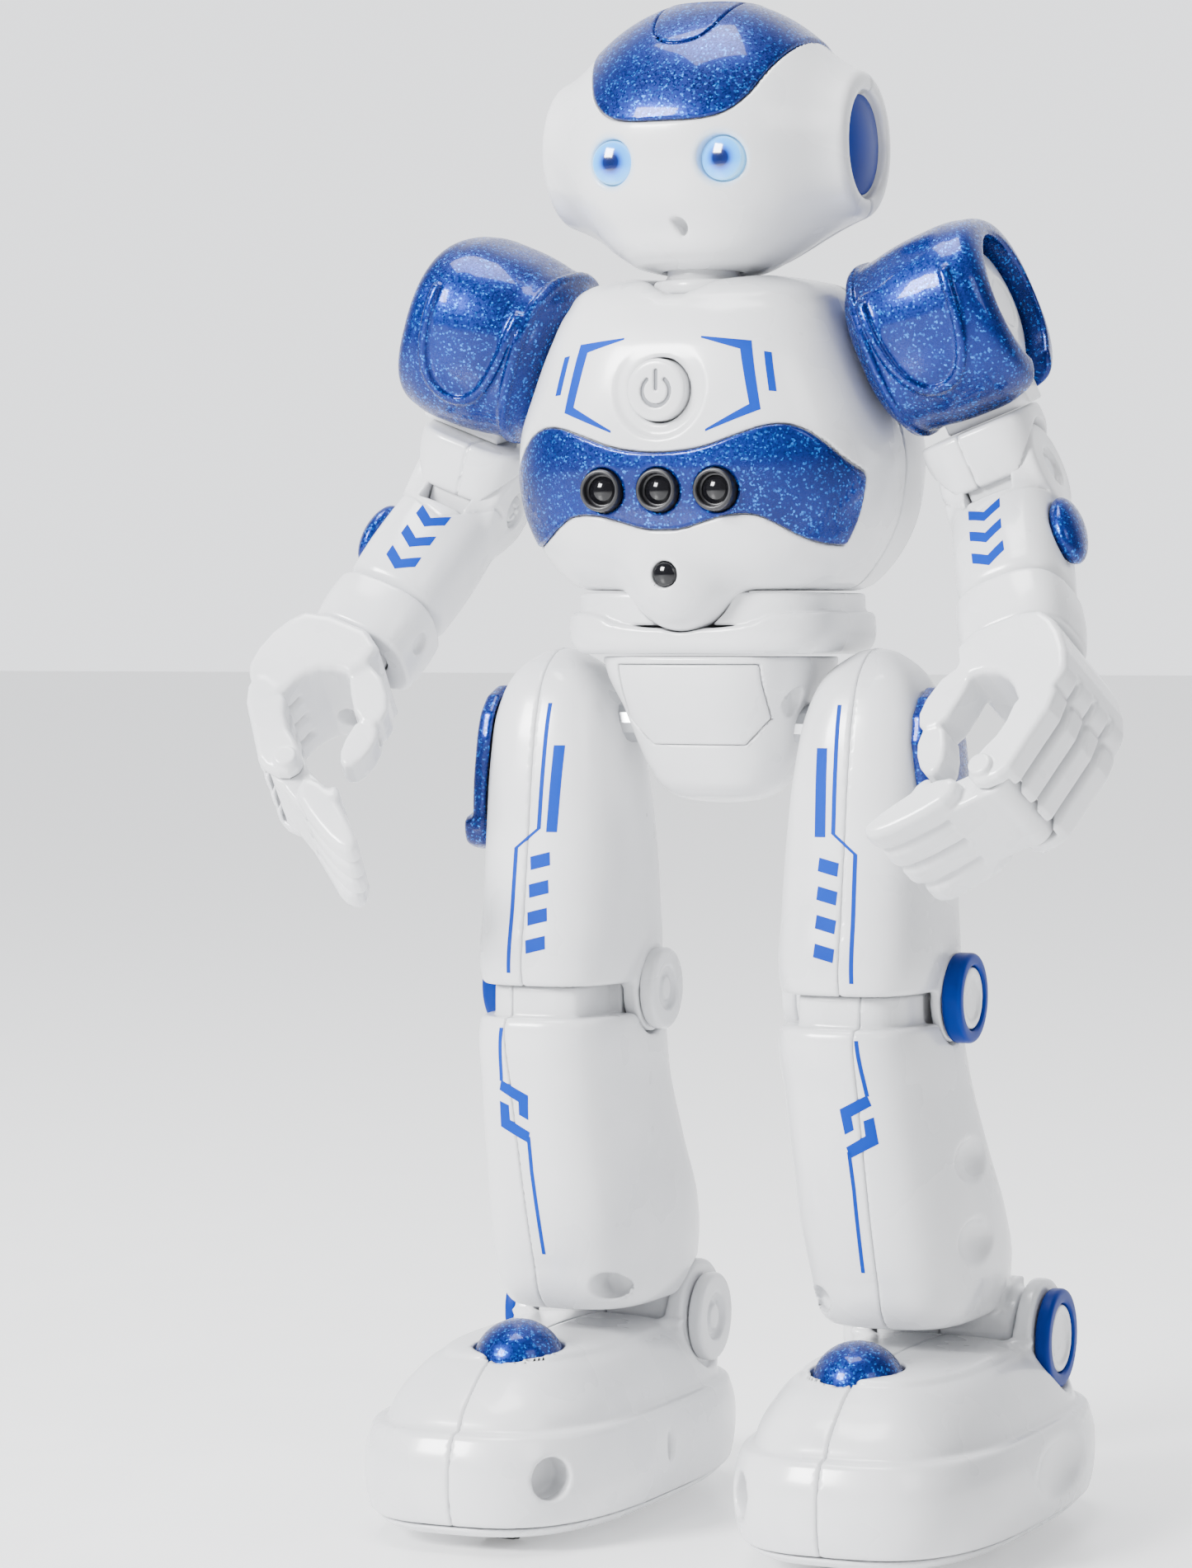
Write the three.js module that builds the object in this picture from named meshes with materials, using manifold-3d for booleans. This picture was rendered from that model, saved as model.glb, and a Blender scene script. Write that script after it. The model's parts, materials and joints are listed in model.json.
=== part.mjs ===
// A walking toy robot, standing, in millimetres.
// +Z is up, the face looks along -Y, the robot's left is +X, the ground is z = 0.
// Left-hand limbs are drawn first. Right-hand limbs are their mirror images.
import * as THREE from "three";
import { mergeVertices } from "three/addons/utils/BufferGeometryUtils.js";
import Module from "manifold-3d";

const wasm = await Module();
wasm.setup();

// ---------------------------------------------------------------- driving dimensions
const GAP = 0.3; // between pieces that touch or nest
const WALL = 2.0; // moulded shells
const FAR = 120; // longer than any cut needs
const SLIVER = 0.03; // facets thinner than this are joined to their neighbours
const SKIN_SIDES = 16; // around a moulded skin
const HOLLOW_SIDES = 8; // around the plainer hollow inside it
const BAR_SIDES = 12; // around a pin, bore or boss

const HEAD_SPLIT_Y = 3;
const EYE = { x: 10, z: 236.3, radius: 3.75, front: -23.6, back: -15 };
const EAR = { y: 1.5, z: 240, rim: 28, discRadius: 8.8, discDepth: 2.2 };
const NECK = { y: -4.4, radius: 6.2, bottom: 203, top: 224 };

const CHEST_SPLIT_Y = 6;
const BUTTON = { z: 197.5, radius: 5.25, front: -26.3, back: -20.8 };
const SENSOR = { spacing: 10.3, z: 180.7, radius: 3.6, front: -26.6, back: -20.5 };
const BELLY = { y: -13, z: 166.2, radius: 9.2 };
const INFRARED = { z: 166.6, radius: 2, front: -22.8, back: -17 };

const SPLAY = THREE.MathUtils.degToRad(21); // the arms lean outwards
const SHOULDER = { x: 40, y: 3.5, z: 208 };
const UPPER_ARM_SWING = THREE.MathUtils.degToRad(10.7);
const UPPER_ARM_LENGTH = 28.7;
const ELBOW_BEND = THREE.MathUtils.degToRad(-46.9);
const ELBOW_RADIUS = 8.4;
const FOREARM_LENGTH = 38;
const FINGER_PIN = { out: -5, down: 29.4, radius: 2.6, halfWidth: 11.5 };
const FINGER_CURL = { left: THREE.MathUtils.degToRad(18), right: 0 };

const HIP = { y: 4, z: 141, radius: 3.5, halfLength: 36 };
const KNEE = { y: 9, z: 94, pinRadius: 3, capRadius: 7.8 };
const ANKLE = { y: 36, z: 32, pinRadius: 3, capRadius: 8.8 };
const WHEEL = { radius: 7, width: 7, axleRadius: 1.5, axleHalf: 7 };
const MIDDLE_Y = 5.4865; // half way between the fingertips and the heels
const WHEEL_PLACES = { front: { x: 31, y: -20 }, rear: { x: 40, y: 22 } };

// Rows are horizontal sections: height, centre x and y, half width, half depth.
const row = (z, x, y, halfX, halfY) => ({ z, x, y, halfX, halfY });

const HEAD_ROWS = [
  row(218.5, 0, -3.5, 8.5, 8.5),
  row(220.5, 0, -3.2, 13, 12.4),
  row(225, 0, -1.6, 19, 16.6),
  row(231, 0, -0.4, 24, 21.2),
  row(237, 0, 0.4, 26.2, 23.4),
  row(243, 0, 0.8, 26.2, 23.6),
  row(249, 0, 1.4, 24.4, 22.2),
  row(255, 0, 1.8, 20.8, 19.2),
  row(260, 0, 2, 15.6, 14.6),
  row(263.6, 0, 2, 9.2, 8.8),
  row(265, 0, 2, 3.6, 3.4),
];

const CHEST_ROWS = [
  row(164, 0, 5, 24, 20),
  row(168, 0, 5, 27.6, 24.6),
  row(175, 0, 5, 31.6, 28),
  row(183, 0, 5, 33.2, 29.8),
  row(190, 0, 5, 33.2, 30),
  row(198, 0, 5, 30.4, 29.6),
  row(206, 0, 5, 27.4, 28),
  row(212, 0, 5, 24.8, 24.6),
  row(216, 0, 5, 21.5, 20.6),
  row(218, 0, 5, 16, 15.5),
];

const BELT_ROWS = [
  row(153, 0, 5, 22.4, 17.8),
  row(154.6, 0, 5, 24, 19.4),
  row(160.4, 0, 5, 24.6, 20),
  row(160.5, 0, 5, 23.2, 18.6),
  row(163.6, 0, 5, 23, 18.4),
];

const PELVIS_ROWS = [
  row(127, 0, 6, 6, 5),
  row(128.6, 0, 6, 8.6, 7.6),
  row(133, 0, 6, 12.4, 10.4),
  row(138, 0, 5.6, 14.4, 12.6),
  row(144, 0, 5, 16.2, 15.6),
  row(149, 0, 4.4, 18.4, 17.2),
  row(152.6, 0, 4, 19.4, 17.6),
];

const THIGH_ROWS = [
  row(95.5, 28, 3, 12.6, 18.6),
  row(97, 28, 3, 13.1, 19.1),
  row(110, 28, 3.4, 13.2, 18.2),
  row(122, 28.2, 3.4, 12.9, 16.6),
  row(134, 28.6, 3.2, 12.1, 14.8),
  row(143, 29, 3, 10.7, 12.6),
  row(149.5, 29.2, 3, 8, 9.6),
  row(153, 29.4, 3, 4.6, 5.8),
  row(154.2, 29.4, 3, 1.8, 2.6),
];

const SHIN_ROWS = [
  row(37, 30, 20, 12.2, 18.6),
  row(39, 30, 20, 13.4, 21.4),
  row(46, 30, 19.5, 14.6, 24),
  row(54, 29.5, 17, 14.8, 24.4),
  row(66, 29, 11.5, 14.2, 22.6),
  row(78, 28.5, 6.5, 13.6, 21),
  row(88.5, 28, 3.6, 13.2, 20.6),
  row(90, 28, 3.5, 12.8, 20),
];

const FOOT_ROWS = [
  row(4.6, 34.5, 10.8, 23.2, 46.6),
  row(10, 34.5, 10.6, 24.3, 47.5),
  row(17, 34.5, 10.563, 24.6, 47.75),
  row(22, 34.3, 11, 23, 45.4),
  row(27, 34, 12, 19.4, 40),
  row(31, 33.6, 12.6, 15.4, 34),
  row(33, 33.4, 13, 12, 29),
];

const SOLE_ROWS = [
  row(2, 34.5, 10.8, 21.6, 45),
  row(4.3, 34.5, 10.8, 23, 46.4),
];

// Sections of the arm, measured down the limb from its own joint.
const UPPER_ARM_ROWS = [
  row(-17.4, 0, 0, 9.6, 9.6),
  row(-19, 0, 0, 9.8, 9.8),
  row(-24, 0, 0, 8.9, 9),
  row(-30, 0, 0, 8.4, 8.6),
];

const FOREARM_ROWS = [
  row(-2, 0, 0, 9, 7.8),
  row(-9, 0, 0, 9.4, 8.6),
  row(-18, 0, 0, 9.6, 9.4),
  row(-27.4, 0, 0, 9.2, 9.2),
  row(-27.6, 0, 0, 9.7, 9.7),
  row(-36.4, 0, 0, 10, 10),
  row(-38, 0, 0, 9, 9),
];

// ---------------------------------------------------------------- finishes
const FINISHES = {
  white: { color: 0xf1f3f6, roughness: 0.28, metalness: 0 },
  glitterBlue: { color: 0x0c1f9c, roughness: 0.3, metalness: 0.55 },
  blue: { color: 0x1b50c8, roughness: 0.3, metalness: 0.1 },
  lens: { color: 0x08090b, roughness: 0.08, metalness: 0 },
  eyeGlow: { color: 0x3fb0ff, roughness: 0.15, metalness: 0 },
  tyre: { color: 0x151515, roughness: 0.8, metalness: 0 },
  steel: { color: 0xa8abb0, roughness: 0.3, metalness: 0.9 },
  circuit: { color: 0x1d6b3a, roughness: 0.5, metalness: 0 },
  battery: { color: 0x2a2c31, roughness: 0.5, metalness: 0.1 },
};

// ---------------------------------------------------------------- solids
function toSolid(geometry) {
  const bare = geometry.clone();
  bare.deleteAttribute("normal");
  bare.deleteAttribute("uv");
  const merged = mergeVertices(bare, 1e-4);
  return new wasm.Manifold(new wasm.Mesh({
    numProp: 3,
    vertProperties: new Float32Array(merged.attributes.position.array),
    triVerts: new Uint32Array(merged.index.array),
  }));
}

function toGeometry(solid) {
  const mesh = solid.simplify(SLIVER).getMesh();
  const geometry = new THREE.BufferGeometry();
  geometry.setAttribute("position", new THREE.BufferAttribute(mesh.vertProperties, 3));
  geometry.setIndex(new THREE.BufferAttribute(mesh.triVerts, 1));
  geometry.computeVertexNormals();
  return geometry;
}

// The largest of the bodies that a cut leaves, without the crumbs.
function mainBody(solid) {
  return solid.decompose().sort((a, b) => b.volume() - a.volume())[0];
}

// The mirror image across x = 0, with its faces still pointing out.
function mirrored(geometry) {
  const copy = geometry.clone();
  copy.scale(-1, 1, 1);
  const index = copy.index.array;
  for (let i = 0; i < index.length; i += 3) {
    const first = index[i];
    index[i] = index[i + 2];
    index[i + 2] = first;
  }
  copy.computeVertexNormals();
  return copy;
}

// A closed skin through the rows. Power 2 gives ellipses, and higher gives rounder corners.
function loft(rows, power = 3, sides = SKIN_SIDES) {
  const rising = [...rows].sort((a, b) => a.z - b.z);
  const positions = [];
  const index = [];
  for (const section of rising) {
    for (let i = 0; i < sides; i++) {
      const angle = (i / sides) * Math.PI * 2;
      const across = Math.sign(Math.cos(angle)) * Math.abs(Math.cos(angle)) ** (2 / power);
      const along = Math.sign(Math.sin(angle)) * Math.abs(Math.sin(angle)) ** (2 / power);
      positions.push(section.x + section.halfX * across, section.y + section.halfY * along, section.z);
    }
  }
  for (let level = 0; level < rising.length - 1; level++) {
    for (let i = 0; i < sides; i++) {
      const next = (i + 1) % sides;
      const low = level * sides;
      const high = low + sides;
      index.push(low + i, low + next, high + next);
      index.push(low + i, high + next, high + i);
    }
  }
  const bottom = rising[0];
  const top = rising[rising.length - 1];
  positions.push(bottom.x, bottom.y, bottom.z, top.x, top.y, top.z);
  const bottomCentre = rising.length * sides;
  const topCentre = bottomCentre + 1;
  const topRing = (rising.length - 1) * sides;
  for (let i = 0; i < sides; i++) {
    const next = (i + 1) % sides;
    index.push(bottomCentre, next, i);
    index.push(topCentre, topRing + i, topRing + next);
  }
  const geometry = new THREE.BufferGeometry();
  geometry.setAttribute("position", new THREE.Float32BufferAttribute(positions, 3));
  geometry.setIndex(index);
  return toSolid(geometry);
}

// The same rows grown outwards (or inwards, when negative) by a distance.
function offset(rows, distance) {
  const heights = rows.map((section) => section.z);
  const low = Math.min(...heights);
  const high = Math.max(...heights);
  const middle = (low + high) / 2;
  const stretch = (high - low + 2 * distance) / (high - low);
  return rows.map((section) => row(
    middle + (section.z - middle) * stretch,
    section.x,
    section.y,
    Math.max(section.halfX + distance, 0.4),
    Math.max(section.halfY + distance, 0.4),
  ));
}

// The hollow inside a moulded shell: every second row, drawn with fewer sides.
function hollow(rows, wall, power = 3) {
  const last = rows.length - 1;
  const kept = rows.filter((section, i) => i === 0 || i === last || i % 2 === 1);
  return loft(offset(kept, -wall), power, HOLLOW_SIDES);
}

function box(x0, x1, y0, y1, z0, z1) {
  const geometry = new THREE.BoxGeometry(x1 - x0, y1 - y0, z1 - z0);
  geometry.translate((x0 + x1) / 2, (y0 + y1) / 2, (z0 + z1) / 2);
  return toSolid(geometry);
}

// Round bars along each axis: radius, the two ends, and the other two coordinates.
function barX(radius, x0, x1, y, z, sides = BAR_SIDES) {
  const geometry = new THREE.CylinderGeometry(radius, radius, x1 - x0, sides);
  geometry.rotateZ(Math.PI / 2);
  geometry.translate((x0 + x1) / 2, y, z);
  return toSolid(geometry);
}

function barY(radius, y0, y1, x, z, sides = BAR_SIDES) {
  const geometry = new THREE.CylinderGeometry(radius, radius, y1 - y0, sides);
  geometry.translate(x, (y0 + y1) / 2, z);
  return toSolid(geometry);
}

function barZ(radius, z0, z1, x, y, sides = BAR_SIDES) {
  const geometry = new THREE.CylinderGeometry(radius, radius, z1 - z0, sides);
  geometry.rotateX(Math.PI / 2);
  geometry.translate(x, y, (z0 + z1) / 2);
  return toSolid(geometry);
}

// A cone frustum along x from one end radius to the other.
function coneX(radius0, radius1, x0, x1, y, z, sides = BAR_SIDES) {
  const geometry = new THREE.CylinderGeometry(radius0, radius1, x1 - x0, sides);
  geometry.rotateZ(Math.PI / 2);
  geometry.translate((x0 + x1) / 2, y, z);
  return toSolid(geometry);
}

function ball(radius, x, y, z, scale = [1, 1, 1]) {
  const geometry = new THREE.SphereGeometry(radius, BAR_SIDES, 8);
  geometry.scale(...scale);
  geometry.translate(x, y, z);
  return toSolid(geometry);
}

// A front-view outline (x, z) pushed through from one y to another.
function prismY(shape, y0, y1, curveSteps = 4) {
  const settings = { depth: y1 - y0, bevelEnabled: false, curveSegments: curveSteps };
  const geometry = new THREE.ExtrudeGeometry(shape, settings);
  geometry.rotateX(Math.PI / 2);
  geometry.translate(0, y1, 0);
  return toSolid(geometry);
}

function polygon(points) {
  return new THREE.Shape(points.map(([x, z]) => new THREE.Vector2(x, z)));
}

// A lens or cap on an axis along -y: a flat back, a round front of the given crown.
function domeY(radius, front, back, crown, x, z, sides = BAR_SIDES) {
  const profile = [new THREE.Vector2(0, 0), new THREE.Vector2(radius, 0)];
  const steps = 2;
  for (let i = 0; i <= steps; i++) {
    const turn = (i / steps) * Math.PI / 2;
    const height = back - front - crown + crown * Math.sin(turn);
    profile.push(new THREE.Vector2(i === steps ? 0 : radius * Math.cos(turn), height));
  }
  const geometry = new THREE.LatheGeometry(profile, sides);
  geometry.rotateX(Math.PI);
  geometry.translate(x, back, z);
  return toSolid(geometry);
}

// ---------------------------------------------------------------- scene graph
const robot = new THREE.Group();
robot.name = "walking_robot";

function addPart(parent, name, solid, finish, side = 1) {
  const drawn = toGeometry(solid);
  const material = new THREE.MeshStandardMaterial(FINISHES[finish]);
  const mesh = new THREE.Mesh(side > 0 ? drawn : mirrored(drawn), material);
  mesh.name = name;
  parent.add(mesh);
}

// A turned and placed group. Right-hand ones take the mirrored place and turn.
function addGroup(parent, side, place, swing = 0, splay = 0) {
  const group = new THREE.Group();
  group.position.set(side * place[0], place[1], place[2]);
  group.rotation.order = "YXZ";
  group.rotation.set(swing, -side * splay, 0);
  parent.add(group);
  return group;
}

// ---------------------------------------------------------------- head
function visorOutline(margin) {
  const shape = new THREE.Shape();
  const low = 243 - margin;
  const corner = 14.2 + margin;
  const wide = 16.2 + margin;
  const roof = 270;
  shape.moveTo(-10, low);
  shape.lineTo(10, low);
  shape.quadraticCurveTo(corner - 0.6, low, corner, 247);
  shape.lineTo(wide, 257);
  shape.lineTo(wide, roof);
  shape.lineTo(-wide, roof);
  shape.lineTo(-wide, 257);
  shape.lineTo(-corner, 247);
  shape.quadraticCurveTo(0.6 - corner, low, -10, low);
  return shape;
}

function buildHead() {
  const power = 2.3;
  const visorBack = 15;
  const earRoot = 16;
  const outer = loft(HEAD_ROWS, power)
    .add(coneX(16.5, 12, earRoot, EAR.rim, EAR.y, EAR.z))
    .add(coneX(12, 16.5, -EAR.rim, -earRoot, EAR.y, EAR.z));
  const seat = EAR.rim - EAR.discDepth;
  const visorSlot = prismY(visorOutline(GAP), -FAR, visorBack + GAP).subtract(loft(offset(HEAD_ROWS, -1.2), power));
  let shell = outer
    .subtract(hollow(HEAD_ROWS, WALL + 0.3, power))
    .subtract(visorSlot)
    .subtract(barZ(NECK.radius + GAP, 210, 224, 0, NECK.y));
  for (const side of [1, -1]) {
    const discSlot = side > 0 ? [seat - GAP, FAR] : [-FAR, GAP - seat];
    shell = shell.subtract(barX(EAR.discRadius + GAP, ...discSlot, EAR.y, EAR.z));
    shell = shell.subtract(barY(EYE.radius + GAP, -FAR, 0, side * EYE.x, EYE.z));
  }
  const front = shell.subtract(box(-FAR, FAR, HEAD_SPLIT_Y - GAP / 2, FAR, 0, 300));
  const back = shell.subtract(box(-FAR, FAR, -FAR, HEAD_SPLIT_Y + GAP / 2, 0, 300));
  const visor = loft(offset(HEAD_ROWS, 0.5), power)
    .intersect(prismY(visorOutline(0), -FAR, visorBack))
    .subtract(loft(offset(HEAD_ROWS, -0.9), power));
  addPart(robot, "head_front_shell", front, "white");
  addPart(robot, "head_back_shell", back, "white");
  addPart(robot, "head_visor", visor, "glitterBlue");
  for (const side of [1, -1]) {
    const word = side > 0 ? "left" : "right";
    const crown = ball(EAR.discRadius, 0, 0, 0, [0.22, 1, 1]).translate([EAR.rim - 1.2, EAR.y, EAR.z]);
    const disc = barX(EAR.discRadius, seat, EAR.rim - 1.2, EAR.y, EAR.z).add(crown)
      .subtract(box(0, seat, -FAR, FAR, 200, 300));
    addPart(robot, `ear_disc_${word}`, disc, "blue", side);
    const lens = domeY(EYE.radius, EYE.front + 1.6, EYE.back, 1.4, EYE.x, EYE.z);
    addPart(robot, `eye_lens_${word}`, lens, "eyeGlow", side);
  }
  addPart(robot, "eye_led_board", box(-15, 15, -13.2, -11.8, 231, 242), "circuit");
}

// ---------------------------------------------------------------- torso
function bandOutline(margin) {
  const upper = [[0, 187.2], [8, 187.2], [13, 188.4], [18, 191.2], [22, 191.2], [28, 187.6], [33.4, 182.6]];
  const lower = [[31.4, 172.4], [27, 171.4], [20, 174.2], [12, 175.6], [6, 174.2], [0, 174]];
  const half = [
    ...upper.map(([x, z]) => [x > 0 ? x + margin * 0.5 : 0, z + margin]),
    ...lower.map(([x, z]) => [x > 0 ? x + margin * 0.5 : 0, z - margin]),
  ];
  const other = half.slice(1, -1).reverse().map(([x, z]) => [-x, z]);
  return polygon([...half, ...other]);
}

function flapOutline(margin) {
  const top = 151 + margin;
  const low = 137.5 - margin;
  const wide = 12.9 + margin;
  return polygon([[-wide, top], [-wide, 142], [-8.5, low], [8.5, low], [wide, 142], [wide, top]]);
}

// A bar along the leaning shoulder axis, measured outwards from the shoulder's centre.
function shoulderBar(radius, from, to, side) {
  const geometry = new THREE.CylinderGeometry(radius, radius, to - from, BAR_SIDES);
  geometry.rotateZ(-Math.PI / 2);
  geometry.translate((from + to) / 2, 0, 0);
  geometry.rotateY(-SPLAY);
  geometry.translate(SHOULDER.x, SHOULDER.y, SHOULDER.z);
  const solid = toSolid(geometry);
  return side > 0 ? solid : solid.mirror([1, 0, 0]);
}

function buildChest() {
  const inner = hollow(CHEST_ROWS, WALL);
  const belly = ball(BELLY.radius, 0, BELLY.y, BELLY.z);
  const bandSlot = prismY(bandOutline(GAP), -FAR, 4 + GAP).subtract(loft(offset(CHEST_ROWS, -1.3)));
  let shell = loft(CHEST_ROWS)
    .add(belly)
    .subtract(inner)
    .subtract(bandSlot)
    .subtract(barZ(NECK.radius + GAP, 208, 230, 0, NECK.y))
    .subtract(barZ(9.5, 215.6, 230, 0, NECK.y))
    .subtract(barY(BUTTON.radius + GAP, -FAR, -15, 0, BUTTON.z))
    .subtract(barY(INFRARED.radius + GAP, -FAR, -15, 0, INFRARED.z));
  for (const step of [-1, 0, 1]) {
    shell = shell.subtract(barY(SENSOR.radius + GAP, -FAR, -15, step * SENSOR.spacing, SENSOR.z));
  }
  for (const side of [1, -1]) {
    shell = shell.subtract(shoulderBar(4.2, -24, 0, side));
  }
  const front = shell.subtract(box(-FAR, FAR, CHEST_SPLIT_Y - GAP / 2, FAR, 0, 300));
  const back = shell.subtract(box(-FAR, FAR, -FAR, CHEST_SPLIT_Y + GAP / 2, 0, 300));
  let band = loft(offset(CHEST_ROWS, 0.5))
    .intersect(prismY(bandOutline(0), -FAR, 4))
    .subtract(loft(offset(CHEST_ROWS, -1)));
  for (const step of [-1, 0, 1]) {
    band = band.subtract(barY(SENSOR.radius + GAP, -FAR, 0, step * SENSOR.spacing, SENSOR.z));
  }
  addPart(robot, "chest_front_shell", front, "white");
  addPart(robot, "chest_back_shell", back, "white");
  addPart(robot, "chest_band", band, "glitterBlue");

  const places = { right: -1, centre: 0, left: 1 };
  for (const [word, step] of Object.entries(places)) {
    const x = step * SENSOR.spacing;
    const lens = domeY(SENSOR.radius, SENSOR.front, SENSOR.back, 0.8, x, SENSOR.z);
    addPart(robot, `sensor_lens_${word}`, lens, "lens");
  }
  addPart(robot, "infrared_led", domeY(INFRARED.radius, INFRARED.front, INFRARED.back, 1, 0, INFRARED.z, 14), "lens");
  addPart(robot, "power_button", domeY(BUTTON.radius, BUTTON.front, BUTTON.back, 0.7, 0, BUTTON.z), "white");
}

function buildInternals() {
  addPart(robot, "battery_pack", box(-18, 18, 13, 24.6, 176, 200), "battery");
  addPart(robot, "main_circuit_board", box(-17, 17, -14, -12.4, 174, 201), "circuit");
  const speaker = barY(11, -10, -7, 0, 188).add(barY(6, -7.2, -1, 0, 188));
  addPart(robot, "speaker", speaker, "battery");
  const flange = barZ(9, NECK.bottom, NECK.bottom + 3, 0, NECK.y);
  const collar = barZ(8.2, 215.9, 217.2, 0, NECK.y);
  const post = barZ(NECK.radius, NECK.bottom + 1, NECK.top, 0, NECK.y);
  addPart(robot, "neck_post", post.add(flange).add(collar), "white");
}

function buildPelvis() {
  const belly = ball(BELLY.radius + GAP, 0, BELLY.y, BELLY.z);
  const beltHole = box(-14, 14, -8, 18, 150, 170);
  addPart(robot, "waist_belt", loft(BELT_ROWS, 4).subtract(belly).subtract(beltHole), "white");

  const panelSlot = prismY(flapOutline(GAP), -FAR, 0).subtract(loft(offset(PELVIS_ROWS, -1.3)));
  const pelvis = loft(PELVIS_ROWS)
    .subtract(hollow(PELVIS_ROWS, WALL))
    .subtract(box(-14, 14, -8, 18, 148, 160))
    .subtract(panelSlot)
    .subtract(barX(HIP.radius + GAP, -FAR, FAR, HIP.y, HIP.z));
  const panel = loft(PELVIS_ROWS)
    .intersect(prismY(flapOutline(0), -FAR, 0))
    .subtract(loft(offset(PELVIS_ROWS, -1)));
  addPart(robot, "pelvis_shell", pelvis, "white");
  addPart(robot, "pelvis_front_panel", panel, "white");
  const axle = barX(HIP.radius, -HIP.halfLength, HIP.halfLength, HIP.y, HIP.z);
  addPart(robot, "hip_axle", axle, "steel");
}

// ---------------------------------------------------------------- arms
// In the shoulder's frame x points outwards along the shoulder's axis and -z runs down the arm.
function podSolid() {
  // Radii along the shoulder's axis, from the chest to the open outer end.
  const profile = [
    [0, -11.4], [11.4, -11.4], [13.8, -9.8], [15.6, -4], [16.4, 4], [16, 10], [14.2, 13.8], [12.4, 14.8],
    [11.4, 14.4], [11.4, 4], [0, 4],
  ];
  const outline = profile.map(([radius, out]) => new THREE.Vector2(radius, out));
  const geometry = new THREE.LatheGeometry(outline, SKIN_SIDES);
  geometry.rotateZ(-Math.PI / 2);
  geometry.translate(0, 0, -0.5);
  const slot = box(-5.2, 20, -5.6, 5.6, -20, -3.6);
  return toSolid(geometry).subtract(slot).subtract(barX(4.2, -20, 10, 0, 0));
}

function hubSolid() {
  const disc = barX(9.6, 4.8, 12, 0, 0);
  const shaft = barX(3.6, -20, 5, 0, 0);
  const stem = box(-4.4, 11, -4.8, 4.8, -17.2, -4);
  return disc.add(shaft).add(stem.subtract(box(-10, 4, -10, 10, -4.6, 0)));
}

function upperArmSolid() {
  const pinZ = -UPPER_ARM_LENGTH;
  const cup = loft(UPPER_ARM_ROWS, 2.6).subtract(barX(ELBOW_RADIUS + 0.4, -20, 20, 0, pinZ, SKIN_SIDES));
  const tongue = barX(6, -4, 4, 0, pinZ).add(box(-4, 4, -5, 5, pinZ, -20));
  return mainBody(cup.add(tongue).subtract(barX(2.6, -20, 20, 0, pinZ)));
}

function forearmSolid() {
  const body = loft(FOREARM_ROWS, 2.6).add(barX(ELBOW_RADIUS, -9, 9, 0, 0, SKIN_SIDES));
  const elbowSlot = box(-4.4, 4.4, -20, 20, -9.4, 20);
  const wristBore = barZ(5.2, -50, -30, 0, 0);
  return body
    .subtract(elbowSlot)
    .subtract(barX(2.6, -8, 20, 0, 0))
    .subtract(barX(4, -20, -7.6, 0, 0))
    .subtract(ball(5.4, 10.2, 0.5, -15, [0.5, 1, 1.25]))
    .subtract(wristBore);
}

function elbowPinSolid() {
  return barX(2.3, -8.8, 8.6, 0, 0).add(barX(3.6, -9.4, -8, 0, 0));
}

// Hand outlines are (outwards, down) pairs in the plane across the fingers.
function handPrism(points, halfWidth) {
  return prismY(polygon(points.map(([out, down]) => [out, -down])), -halfWidth, halfWidth);
}

function palmSolid() {
  const palm = handPrism([
    [-7, 0.6], [7, 0.6], [10.6, 6], [11.4, 14], [9.4, 19.4], [5.4, 21.4],
    [2.6, 19], [1.6, 14], [-1.5, 10.4], [-7, 9.6],
  ], 11.5);
  const wrist = barZ(4.8, -1, 6, 0, 0);
  let hand = palm.add(wrist);
  const ribPitch = 6;
  for (let i = 0; i < 4; i++) {
    const middle = (i - 1.5) * ribPitch;
    const rib = handPrism([
      [9, 17], [9.2, 20.5], [1.6, 28.4], [-2.6, 32.2], [-7, 31.6],
      [-8, 28.6], [-5.6, 26.2], [-1, 23.4], [2.4, 18],
    ], 2.75);
    hand = hand.add(rib.translate([0, middle, 0]));
  }
  // The pin ties the four ribs together, and the fingers turn on it between two of them.
  const web = handPrism([[6, 16], [5.6, 19.4], [-1, 27], [-2.6, 25.4], [2.6, 18.4]], 9);
  const thumb = thumbSolid();
  return hand.add(web).add(thumb).subtract(barY(FINGER_PIN.radius + 1.2, -8.6, 8.6, FINGER_PIN.out, -FINGER_PIN.down))
    .subtract(fingerClearance());
}

function thumbSolid() {
  const base = handPrism([[-4, 7], [-9.5, 6.4], [-15.2, 12.6], [-15.4, 16.8], [-10, 17.6], [-6, 11.6]], 4);
  const tip = handPrism([[-15.4, 15], [-16.8, 19.4], [-16, 24.6], [-13.4, 26], [-11, 22.8], [-10, 16]], 3.6);
  return base.add(tip).translate([0, -7, 0]);
}

// The room that the finger block sweeps, so the ribs end clear of it.
function fingerClearance() {
  return box(-40, -9.2, -20, 20, -60, -27);
}

// In the finger's frame the origin is the pin, x points outwards and -z runs down the limb.
function fingerSolid() {
  const block = handPrism([
    [-3.4, -1.4], [-2, 3.6], [-9.4, 8.8], [-17.4, 12.4], [-21, 11.6],
    [-21.6, 9], [-17, 5.6], [-9.8, 1],
  ], 11.2);
  const hinge = barY(FINGER_PIN.radius + 0.8, -8.2, 8.2, 0, 0);
  const link = handPrism([[0, -2.6], [0.4, 3], [-7, 6.6], [-9, 1]], 8.2);
  const pinBore = barY(FINGER_PIN.radius - 1, -20, 20, 0, 0, 12);
  return block.subtract(box(-5.4, 10, -20, 20, -30, 30)).add(link).add(hinge).subtract(pinBore);
}

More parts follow.
